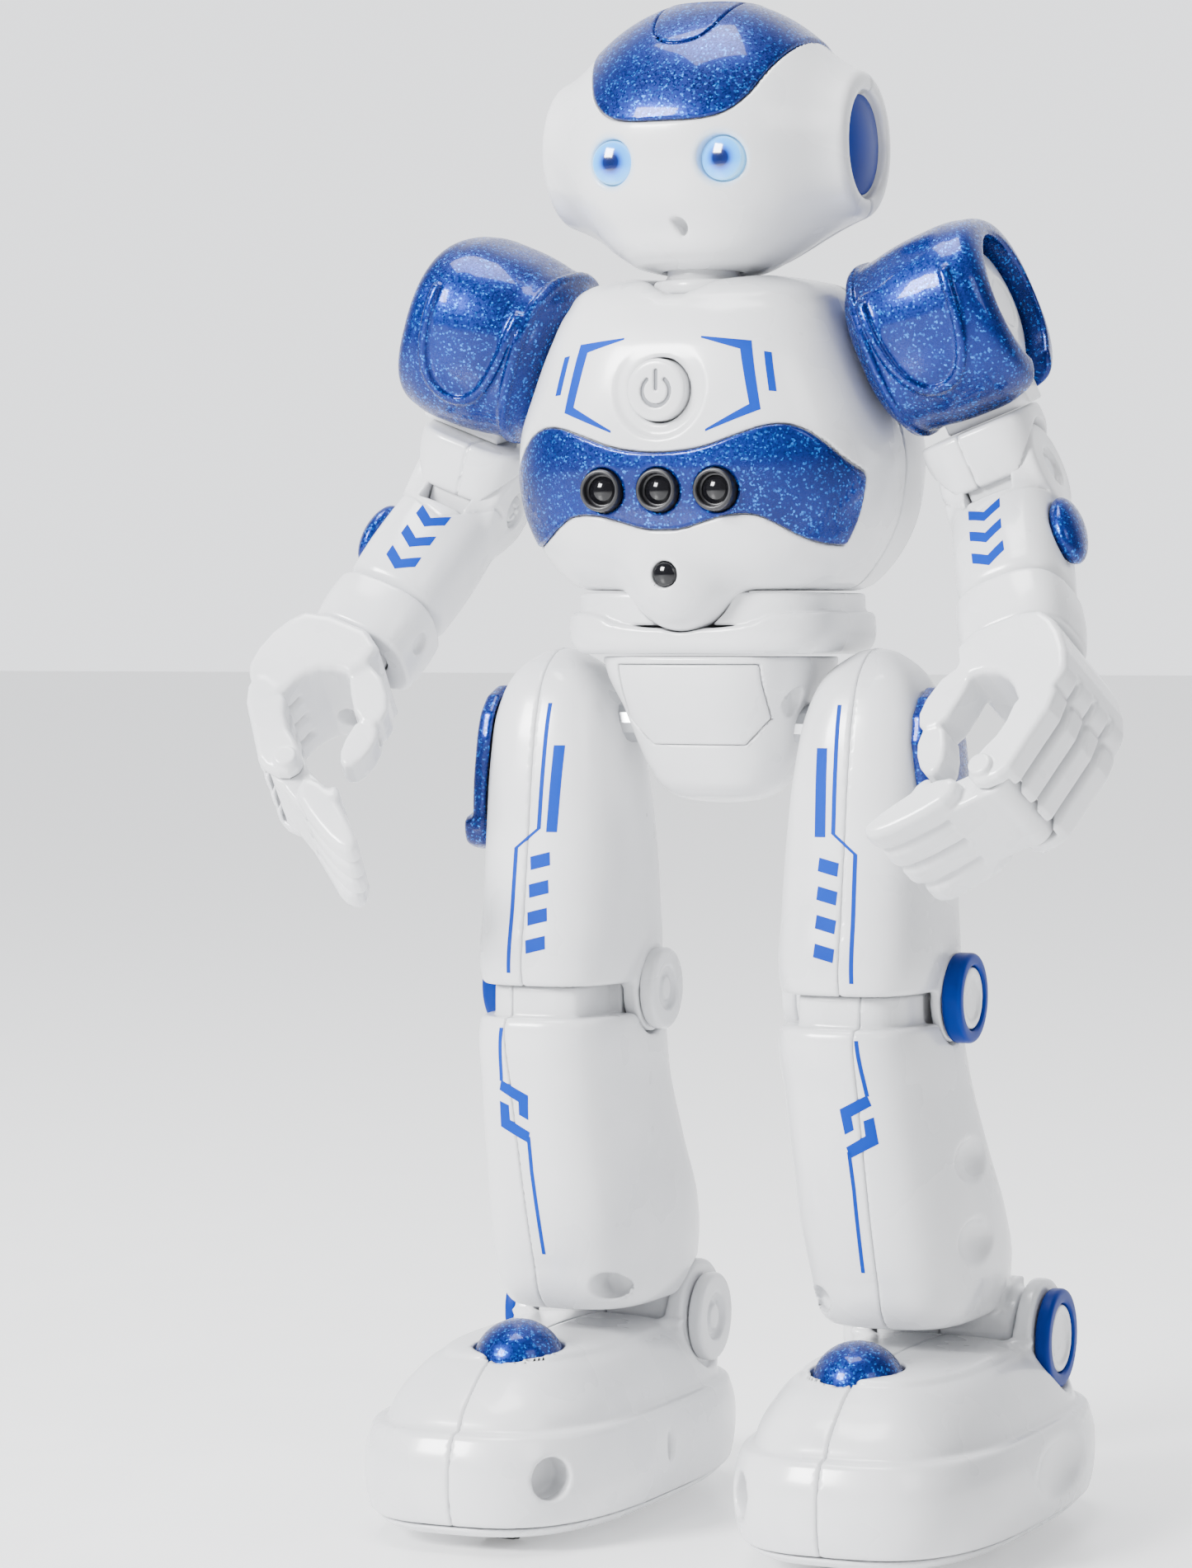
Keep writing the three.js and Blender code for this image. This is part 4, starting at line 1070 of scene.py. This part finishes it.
def palm_shape():
    palm = prism(softened([
        (-7.4, -0.6), (7.4, -0.6), (11, -6), (12, -14), (9.8, -19.6), (5.4, -21.6),
        (2.4, -19), (1.6, -14), (-1.5, -10.4), (-7.4, -9.4),
    ], 1), 11.3, blend=1.6)
    wrist = bar(2, 4.8, -6, 1.6, (0, 0))
    knuckle_edge = prism([(6.6, -20.8), (13, -15), (13, -24), (7, -26)], 12.6, blend=0.8)
    hand = cut(join(palm, wrist, blend=0.6), knuckle_edge, blend=0.8)
    for i in range(4):
        middle = (i - 1.5) * 5.7
        rib = prism(softened([
            (8.6, -16), (9.4, -20.6), (2.0, -28.6), (-1.2, -32.2), (-6.4, -32.4),
            (-8.2, -29), (-5.6, -26.0), (-1, -23.2), (2.4, -17.6),
        ], 1), 2.75, blend=1.3, middle=middle)
        hand = join(hand, rib, blend=0.35)
    for i in range(3):
        middle = (i - 1) * 5.7
        gap = slab(1, middle - 0.3, middle + 0.3)
        groove = both(gap, slab(2, -FAR, -15.4), cut_below(hand, 1.9), blend=0.2)
        hand = cut(hand, groove, blend=1.2)
    thumb_base = softened([
        (-4, -7), (-9.6, -6.2), (-15.4, -11.8), (-15.8, -16.4), (-11.4, -17), (-6.8, -11.8),
    ], 1)
    thumb_tip = softened([
        (-15.2, -15.6), (-17, -19.4), (-16.4, -24.6), (-13.8, -26.2), (-11.6, -22.6), (-11.4, -16),
    ], 1)
    base = prism(thumb_base, 3.6, blend=1.1, middle=-7)
    tip = prism(thumb_tip, 3.1, blend=1.1, middle=-7)
    hand = join(hand, base, blend=1.0)
    hand = join(hand, tip, blend=0.7)
    hinge_gap = both(bar(1, 4.0, -8.8, 8.8, PIN), slab(1, -8.8, 8.8), blend=0.3)
    palm_hole = bar(2, 2.6, -13, -8, (-3.6, 4.5))
    dimple = ball((-15.4, -7, -17.2), (1.1, 1.3, 1.1))
    pin_end = bar(1, 2.0, -12.4, 12.4, PIN)
    hand = cut(hand, hinge_gap, palm_hole, dimple, blend=0.5)
    return surface_net(join(hand, pin_end, blend=0.3), (-19, -13.4, -34.6), (13.4, 13.4, 3), 0.38)


def finger_shape():
    fingers = None
    for i in range(4):
        middle = (i - 1.5) * 5.6
        length = (0.4, 0.0, -0.5, -1.8)[i]
        finger = prism(softened([
            (-4.4, -0.8), (-4.8, -5.0), (-10, -8.2), (-16.0 - length, -10.9), (-19.2 - length, -10.9),
            (-20 - length, -8.9), (-16.6, -5.6), (-9.8, -1.2),
        ], 1), 2.72, blend=1.7, middle=middle)
        knuckle_edge = softened([(-9.6, -0.4), (-10.6, -3), (-12.4, -2.6), (-11.4, -0.8)], 1)
        knuckle = prism(knuckle_edge, 2.2, blend=1.0, middle=middle)
        finger = join(finger, knuckle, blend=1.2)
        fingers = finger if fingers is None else join(fingers, finger, blend=0.3)
    hinge = bar(1, 3.3, -8.3, 8.3, (0, 0))
    link = prism([(0, 2.6), (0.4, -3.0), (-7, -6.4), (-8, -0.6)], 8.2, blend=0.8)
    block = join(fingers, join(hinge, link, blend=0.6), blend=0.5)
    block = cut(block, bar(1, 2.3, -20, 20, (0, 0)), blend=0.2)
    return surface_net(block, (-24.6, -13, -15), (5, 13, 5.4), 0.36)


def chevron_patches(middle_z, middle_x=-0.6, wide=3.0, thick=2.2, drop=2.0):
    """Two slanted bars that meet in a point."""
    point = (middle_x, middle_z)
    under = (middle_x, middle_z - thick)
    left_end = (middle_x - wide, middle_z + drop)
    right_end = (middle_x + wide, middle_z + drop)
    left_under = (middle_x - wide, middle_z + drop - thick)
    right_under = (middle_x + wide, middle_z + drop - thick)
    return [[left_end, point, under, left_under], [point, right_end, right_under, under]]


def build_arms():
    pod = pod_shape()
    hub = hub_shape()
    upper = upper_arm_shape()
    forearm, chevrons = forearm_shape()
    screw = screw_shape()
    dome = surface_net(ball((10.3, 0.5, -15), (2.6, 5.1, 6.4)), (6.8, -5.5, -22.5), (13.6, 6.5, -7.5), 0.3)
    palm = palm_shape()
    fingers = finger_shape()
    for side, word in SIDES:
        shoulder = JOINTS[f"shoulder_swing_{word}"]
        elbow = JOINTS[f"elbow_bend_{word}"]
        wrist = JOINTS[f"wrist_turn_{word}"]
        curl = JOINTS[f"finger_curl_{word}"]
        sideways = shoulder["axis"]
        upper_up = Vector(shoulder["pos_m"]) - Vector(elbow["pos_m"])
        fore_up = Vector(elbow["pos_m"]) - Vector(wrist["pos_m"])
        arm = limb_place(shoulder["pos_m"], sideways, upper_up)
        lower = limb_place(elbow["pos_m"], sideways, fore_up)
        hand = limb_place(wrist["pos_m"], sideways, fore_up)
        curled = math.radians(FULL_CURL - curl["range_deg"][1])
        knuckle = limb_place(curl["pos_m"], sideways, fore_up) @ Matrix.Rotation(side * curled, 4, "Y")
        pieces = [
            ("pod", pod, COVER, "arm", "shoulder_pod", arm),
            ("hub", hub, SHELL, "arm", "shoulder_hub", arm),
            ("upper", upper, SHELL, "arm", "upper_arm", arm),
            ("fore", forearm, SHELL, "lower_arm", "forearm", lower),
            ("screw", screw, PIN_LOOK, "lower_arm", "elbow_pin", lower),
            ("arm_dome", dome, COVER, "lower_arm", "forearm_dome", lower),
            ("arm_mark", chevrons, MARK, "lower_arm", None, lower),
            ("palm", palm, SHELL, "palm", "hand", hand),
            ("finger_block", fingers, SHELL, "finger_block", "fingers", knuckle),
        ]
        for piece in pieces:
            add_sided(side, word, *piece)


# ---------------------------------------------------------------- legs
def line_patches(points, width):
    """Four-cornered strips along a line of points (x, z), of one width across x."""
    half = width / 2
    return [
        [(x0 - half, z0), (x0 + half, z0), (x1 + half, z1), (x1 - half, z1)]
        for (x0, z0), (x1, z1) in zip(points, points[1:])
    ]


def knee_wall():
    """The thigh's lower outline carried straight down past the knee."""
    low, high = THIGH_ROWS[0], THIGH_ROWS[2]
    return loft([(70, *low[1:]), low, high], 3)


def thigh_shapes():
    skin = loft(THIGH_ROWS, 3, edge=1.0)
    ears = join(bar(0, 7.6, 38.4, 41.1, KNEE), bar(0, 7.6, 14.9, 17.6, KNEE), blend=0.5)
    skin = join(skin, ears, blend=1.5)
    knuckle_room = join(bar(0, 7.1, 17.7, 38.3, KNEE),
                        both(slab(0, 17.7, 38.3), slab(1, 1.9, 16.1), slab(2, 80, 94), blend=0.2), blend=0.2)
    block_room = both(
        slab(0, 19.8, FAR), slab(1, -FAR, 20), slab(2, 60, 98.6), grown(knee_wall(), -1.3), blend=0.4)
    skin = cut(skin, knuckle_room, block_room, bar(0, 3.3, 0, FAR, KNEE), blend=0.3)
    seam_x = 29.2
    outer = both(skin, slab(0, seam_x + SEAM * 0.6, FAR), blend=0.2)
    inner = both(skin, slab(0, 0, seam_x - SEAM * 0.6), blend=0.2)
    high = (43, 23.6, 155.4)
    return (surface_net(outer, (seam_x - 0.8, -17.6, 85), high, 0.5),
            surface_net(inner, (13, -17.6, 85), (seam_x + 0.8, high[1], high[2]), 0.5),
            decal(thigh_marks(), skin))


def cover_shape():
    skin = loft(THIGH_ROWS, 3, edge=1.0)
    clear = cut_below(skin, -0.35)
    sheet_edge = outline(softened([
        (-8, 147), (14, 148), (15.4, 135), (13.4, 122), (8, 118.6), (-4, 118.6), (-7.4, 124),
    ], 2), axes=(1, 2))
    lip_edge = outline(softened([
        (-6.4, 125.4), (13, 125.4), (12.4, 121), (8, 118.6), (-3.6, 118.6), (-6.4, 121),
    ], 2), axes=(1, 2))
    sheet = both(grown(skin, 2.7), clear, sheet_edge, slab(0, 33, FAR), blend=0.9)
    lip = both(grown(skin, 4.4), clear, lip_edge, slab(0, 34, FAR), blend=1.4)
    cover = join(sheet, lip, blend=1.2)
    return surface_net(cover, (32, -10, 117), (48, 17.4, 149.6), 0.42)


def ring_shapes(centre, outer_face, radius, band, deep):
    """A coloured ring and the white core inside it, standing proud of a face at outer_face."""
    tube = both(bar(0, radius, outer_face - deep, outer_face, centre, edge=0.9), slab(0, 0, 90), blend=0.2)
    ring = cut(tube, bar(0, radius - band, outer_face - 1.6, 90, centre), blend=0.5)
    core_radius = radius - band - 0.25
    core = bar(0, core_radius, outer_face - 1.5, outer_face - 0.25, centre, edge=0.6)
    core = cut(core, bar(0, core_radius - 1.5, outer_face - 0.7, 90, centre), blend=0.5)
    low = (outer_face - deep - 1, centre[0] - radius - 1, centre[1] - radius - 1)
    high = (outer_face + 0.8, centre[0] + radius + 1, centre[1] + radius + 1)
    return surface_net(ring, low, high, 0.34), surface_net(core, low, high, 0.34)


def inner_cap_shape(centre, face, radius, deep, shaft_radius, shaft_end):
    """The white cap on a pin's inner end, with a round recess, and the pin's shaft."""
    cap = bar(0, radius, face, face + deep, centre, edge=0.8)
    cap = cut(cap, bar(0, radius * 0.52, 0, face + 0.9, centre), blend=0.6)
    cap = join(cap, bar(0, radius * 0.3, face + 0.3, face + deep, centre), blend=0.3)
    whole = join(cap, bar(0, shaft_radius, face + 1, shaft_end, centre), blend=0.3)
    low = (face - 1, centre[0] - radius - 1, centre[1] - radius - 1)
    high = (shaft_end + 1, centre[0] + radius + 1, centre[1] + radius + 1)
    return surface_net(whole, low, high, 0.38)


def shin_shapes():
    skin = loft(SHIN_ROWS, 3, edge=1.2)
    ankle = join(bar(0, 8.5, 20.3, 45.6, ANKLE),
                 both(slab(0, 20.3, 43.6), slab(1, 29, 41), slab(2, 32, 42), blend=0.5), blend=1.5)
    knee = join(bar(0, 6.5, 18.2, 37.8, KNEE),
                both(slab(0, 18.2, 37.8), slab(1, 2.5, 15.5), slab(2, 88, 94), blend=0.5),
                both(slab(0, 20.4, FAR), slab(1, -FAR, 17), slab(2, 84, 95.4), grown(knee_wall(), -2.2),
                     blend=0.6),
                blend=0.5)
    skin = join(skin, ankle, blend=1.5)
    for x, y, z in ((46.6, 12.5, 66), (47.6, 11.5, 52)):
        skin = cut(skin, ball((x, y, z), (5.2, 11.5, 5.2)), blend=0.4)
    skin = join(skin, knee, blend=0.5)
    skin = cut(
        skin,
        bar(0, 11.1, 0, 19.9, ANKLE),
        bar(0, 8.2, 37.9, FAR, KNEE),
        bar(0, 8.2, 0, 18.1, KNEE),
        bar(0, 3.3, 0, FAR, ANKLE),
        bar(0, 3.3, 0, FAR, KNEE),
        bar(1, 2.5, -20, 6.5, (20.0, 41.8)),
        blend=0.4,
    )
    seam_x = 32.1
    outer = both(skin, slab(0, seam_x + SEAM * 0.6, FAR), blend=0.2)
    inner = both(skin, slab(0, 0, seam_x - SEAM * 0.6), blend=0.2)
    return (surface_net(outer, (seam_x - 0.8, -18.6, 22), (47, 46.4, 102), 0.52),
            surface_net(inner, (13, -18.6, 22), (seam_x + 0.8, 46.4, 102), 0.52),
            decal(shin_marks(), skin))


def foot_shapes():
    skin = join(loft(FOOT_ROWS, 3, edge=1.2), loft(INSTEP_ROWS, 3, edge=1.0), blend=0.9)
    outer_ear = bar(0, 10.4, 46.4, 49.5, ANKLE, edge=1.0)
    inner_ear = bar(0, 10.4, 16.5, 19.6, ANKLE, edge=1.0)
    ears = join(outer_ear, inner_ear, blend=0.5)
    heel_side = softened([(44, 30), (58, 22), (58, 8), (44, 8)], 1)
    heel_block = prism(heel_side, 9, blend=2.0, axes=(1, 2), across=0, middle=34)
    heel = both(heel_block, grown(skin, 1.0), blend=1.5)
    skin = join(skin, heel, blend=1.5)
    skin = join(skin, ears, blend=2.5)
    skin = cut(
        skin,
        bar(0, 9.4, 19.8, 46.2, ANKLE),
        both(slab(0, 19.8, 46.2), slab(1, 28, 46), slab(2, 31, 50), blend=0.3),
        bar(0, 9.3, 49.6, 70, ANKLE),
        bar(0, 9.3, 0, 16.4, ANKLE),
        bar(0, 3.3, 0, FAR, ANKLE),
        ball(TOE_DOME, (8.5, 8.5, 8.2)),
        blend=0.5,
    )
    screw_hole = turned_bar(3.7, (16.6, -30.6, 13.0), (-0.78, -0.63, 0.0), 7.0)
    slot_hole = ball((9.9, 5.4, 13.6), (2.6, 1.1, 2.4))
    flank = join(ball((60.4, 16, 13), (3.4, 15, 6.4)), ball((8.6, 16, 13), (0.1, 15, 6.4)), blend=0.2)
    skin = cut(skin, screw_hole, slot_hole, flank, blend=0.7)
    seam_x = 33.4
    outer = both(skin, slab(0, seam_x + SEAM * 0.6, 70), blend=0.2)
    inner = both(skin, slab(0, 0, seam_x - SEAM * 0.6), blend=0.2)
    return (surface_net(outer, (seam_x - 0.8, -39, 3.4), (61, 61, 44), 0.58),
            surface_net(inner, (8.6, -39, 3.4), (seam_x + 0.8, 61, 44), 0.58))


def turned_bar(radius, centre, direction, depth):
    """A round hole of a depth on both sides of a centre, along any direction."""
    way = np.array(direction, float) / np.linalg.norm(direction)

    def field(x, y, z):
        dx = x - centre[0]
        dy = y - centre[1]
        dz = z - centre[2]
        along = dx * way[0] + dy * way[1] + dz * way[2]
        square = dx * dx + dy * dy + dz * dz - along * along
        side = np.sqrt(np.maximum(square, 1e-9)) - radius
        return np.maximum(side, np.abs(along) - depth)
    return field


def sole_shape():
    plate = loft(SOLE_ROWS, 3, edge=0.6)
    for x, y in (FRONT_WHEEL, REAR_WHEEL):
        well = both(slab(0, x - 4.3, x + 4.3), slab(1, y - 7.8, y + 7.8), slab(2, 0, 20), blend=0.5)
        plate = cut(plate, well, blend=0.4)
    tread = both(
        lambda x, y, z: 1.0 - np.abs((y % 6.0) - 3.0),
        slab(2, 0, 2.5),
        slab(0, 18, 24),
        blend=0.2,
    )
    plate = cut(plate, tread, blend=0.2)
    return surface_net(plate, (10, -36, 1.2), (59, 58, 5.2), 0.6)


def wheel_shape(x, y):
    radius = 6.95

    def tread(px, py, pz):
        dy = py - y
        dz = pz - WHEEL_Z
        angle = np.arctan2(dz, dy)
        groove = 0.25 * np.cos(angle * 24 + np.sign(px - x) * 0.6)
        return (np.sqrt(dy * dy + dz * dz) - radius + 0.25 - np.minimum(groove, 0.25)) * 0.9
    tyre = both(tread, slab(0, x - 3.4, x + 3.4), blend=0.8)
    hub = bar(0, 4.6, x - 2.6, x + 2.6, (y, WHEEL_Z))
    outer_recess = bar(0, 4.9, x + 2.4, x + 9, (y, WHEEL_Z))
    inner_recess = bar(0, 4.9, x - 9, x - 2.4, (y, WHEEL_Z))
    recess = join(outer_recess, inner_recess, blend=0.2)
    axle = bar(0, 1.5, x - 7, x + 7, (y, WHEEL_Z))
    wheel = join(join(cut(tyre, recess, blend=0.4), hub, blend=0.2), axle, blend=0.4)
    return surface_net(wheel, (x - 8, y - 8, -0.6), (x + 8, y + 8, 14.8), 0.4)


def thigh_marks():
    strips = line_patches([(26.8, 144.5), (27.2, 122.8), (31.3, 119.4), (31.6, 97.8)], 0.75)
    strips += line_patches([(24.3, 137.2), (24.8, 122.2)], 2.0)
    for z in (117.2, 112.4, 107.6, 102.8):
        strips.append([(24.9, z + 1.6), (28.5, z + 0.7), (28.3, z - 1.6), (24.7, z - 0.7)])
    return strips


def shin_marks():
    strips = line_patches([(32.7, 88.3), (33.8, 78.8)], 0.7)
    strips += [
        [(28.8, 76.4), (33.8, 79.0), (34.4, 77.2), (30.8, 75.2)],
        [(28.8, 76.4), (30.8, 75.2), (31.0, 72.9), (29.3, 72.0)],
        [(32.8, 74.5), (34.6, 75.2), (35.0, 70.6), (32.9, 71.9)],
        [(29.3, 69.8), (32.9, 71.9), (35.0, 70.6), (29.9, 67.9)],
    ]
    strips += line_patches([(29.7, 69.0), (29.9, 62.7), (29.8, 47.6)], 0.7)
    return strips


def build_legs():
    thigh = thigh_shapes()
    cover = cover_shape()
    knee_ring, knee_core = ring_shapes(KNEE, 44.9, 7.8, 2.2, 3.5)
    knee_cap = inner_cap_shape(KNEE, 12, 7.2, 2.7, 3, 42)
    shin = shin_shapes()
    ankle_ring, ankle_core = ring_shapes(ANKLE, 52.4, 8.8, 2.6, 2.6)
    ankle_cap = inner_cap_shape(ANKLE, 13.7, 8.0, 2.5, 3, 50)
    foot = foot_shapes()
    dome = surface_net(ball(TOE_DOME, (8, 8, 7.6)), (22.6, -21, 25), (40.4, -3, 38.2), 0.36)
    sole = sole_shape()
    front_wheel = wheel_shape(*FRONT_WHEEL)
    rear_wheel = wheel_shape(*REAR_WHEEL)
    pieces = [
        ("thigh_outer", thigh[0], SHELL, "thigh", "thigh_shell"),
        ("thigh_inner", thigh[1], SHELL, "thigh", "thigh_shell"),
        ("cover", cover, COVER, "thigh", "thigh_cover"),
        ("knee_ring", knee_ring, TRIM, "thigh", "knee_pin"),
        ("knee_core", knee_core, SHELL, "thigh"),
        ("knee_cap", knee_cap, SHELL, "thigh", "knee_pin"),
        ("thigh_mark", thigh[2], MARK, "thigh"),
        ("shin_outer", shin[0], SHELL, "shin", "shin_shell"),
        ("shin_inner", shin[1], SHELL, "shin", "shin_shell"),
        ("shin_mark", shin[2], MARK, "shin"),
        ("ankle_ring", ankle_ring, TRIM, "foot", "ankle_pin"),
        ("ankle_core", ankle_core, SHELL, "foot"),
        ("ankle_cap", ankle_cap, SHELL, "foot", "ankle_pin"),
        ("foot_outer", foot[0], SHELL, "foot", "foot_shell"),
        ("foot_inner", foot[1], SHELL, "foot", "foot_shell"),
        ("toe_dome", dome, COVER, "foot", "foot_dome"),
        ("sole", sole, SHELL, "foot", "foot_sole"),
        ("front_tyre", front_wheel, TYRE, "wheel_front", "front_wheel"),
        ("rear_tyre", rear_wheel, TYRE, "wheel_rear", "rear_wheel"),
    ]
    for side, word in SIDES:
        for piece in pieces:
            add_sided(side, word, *piece)


def finish_cad_nodes():
    """Better materials for the CAD nodes that stay: the parts inside the shells."""
    looks = {
        "battery_pack": DARK, "main_circuit_board": BOARD, "speaker": DARK, "eye_led_board": BOARD,
        "hip_axle": STEEL,
    }
    for name, material in looks.items():
        node = frame["nodes"][name]
        node.data.materials.clear()
        node.data.materials.append(material)


# ---------------------------------------------------------------- studio
def look_matrix(place, direction):
    back = -Vector(direction).normalized()
    right = Vector((0, 0, 1)).cross(back).normalized()
    up = back.cross(right)
    turn = Matrix((right, up, back)).transposed().to_4x4()
    return Matrix.Translation(Vector(place)) @ turn


def add_camera():
    distance = 0.8
    height = 0.157
    left_turn = math.radians(1.45)
    down_tilt = math.radians(1.9)
    across = distance * math.sin(VIEW_AZIMUTH)
    away = -distance * math.cos(VIEW_AZIMUTH) - MIDDLE_Y * MM
    place = Vector((across, away, height))
    heading = math.pi / 2 + VIEW_AZIMUTH + left_turn
    level = math.cos(down_tilt)
    direction = Vector((math.cos(heading) * level, math.sin(heading) * level, -math.sin(down_tilt)))
    data = bpy.data.cameras.new("camera")
    data.lens = 105.9
    data.sensor_width = 36
    camera = bpy.data.objects.new("camera", data)
    camera.matrix_world = look_matrix(place, direction)
    bpy.context.scene.collection.objects.link(camera)
    bpy.context.scene.camera = camera


def add_light(name, place, target, size, power, colour=(1, 1, 1)):
    data = bpy.data.lights.new(name, "AREA")
    data.size = size
    data.energy = power
    data.color = colour
    light = bpy.data.objects.new(name, data)
    light.matrix_world = look_matrix(place, Vector(target) - Vector(place))
    bpy.context.scene.collection.objects.link(light)


def build_world():
    """A surround that is bright behind the robot and softer in front, which shades the white shells."""
    world = bpy.data.worlds.new("studio")
    world.use_nodes = True
    nodes = world.node_tree.nodes
    links = world.node_tree.links
    back = nodes["Background"]
    place = nodes.new("ShaderNodeTexCoord")
    ahead = nodes.new("ShaderNodeVectorMath")
    ahead.operation = "DOT_PRODUCT"
    ahead.inputs[1].default_value = (-math.sin(VIEW_AZIMUTH), math.cos(VIEW_AZIMUTH), 0)
    fade = nodes.new("ShaderNodeMapRange")
    fade.interpolation_type = "SMOOTHSTEP"
    fade.inputs["From Min"].default_value = 0.1
    fade.inputs["From Max"].default_value = 0.9
    fade.inputs["To Min"].default_value = 0.3
    fade.inputs["To Max"].default_value = 2.1
    links.new(place.outputs["Generated"], ahead.inputs[0])
    links.new(ahead.outputs["Value"], fade.inputs["Value"])
    links.new(fade.outputs["Result"], back.inputs["Strength"])
    back.inputs["Color"].default_value = (0.95, 0.965, 1.0, 1)
    bpy.context.scene.world = world


def build_studio():
    chest = (0, 0, 0.15)
    add_light("key", (-0.9, -1.6, 1.05), chest, 0.6, 100.0)
    add_light("fill", (1.9, -1.2, 1.3), chest, 1.0, 14.0)
    add_light("top", (-0.15, -0.1, 1.3), chest, 0.6, 20.0)
    build_world()

    half = 15.0
    mesh = bpy.data.meshes.new("floor")
    corners = [(-half, -half, 0), (half, -half, 0), (half, half, 0), (-half, half, 0)]
    mesh.from_pydata(corners, [], [(0, 1, 2, 3)])
    floor = bpy.data.objects.new("floor", mesh)
    bpy.context.scene.collection.objects.link(floor)
    white = moulded("floor_white", (0.88, 0.885, 0.89), (0.92, 0.922, 0.925), roughness=(0.3, 0.4))
    shader = white.node_tree.nodes["Principled BSDF"]
    shader.inputs["Emission Color"].default_value = (1, 1, 1, 1)
    shader.inputs["Emission Strength"].default_value = 0.35
    mesh.materials.append(white)


build_head()
build_chest()
build_neck()
build_waist()
build_arms()
build_legs()
finish_cad_nodes()
add_camera()
build_studio()
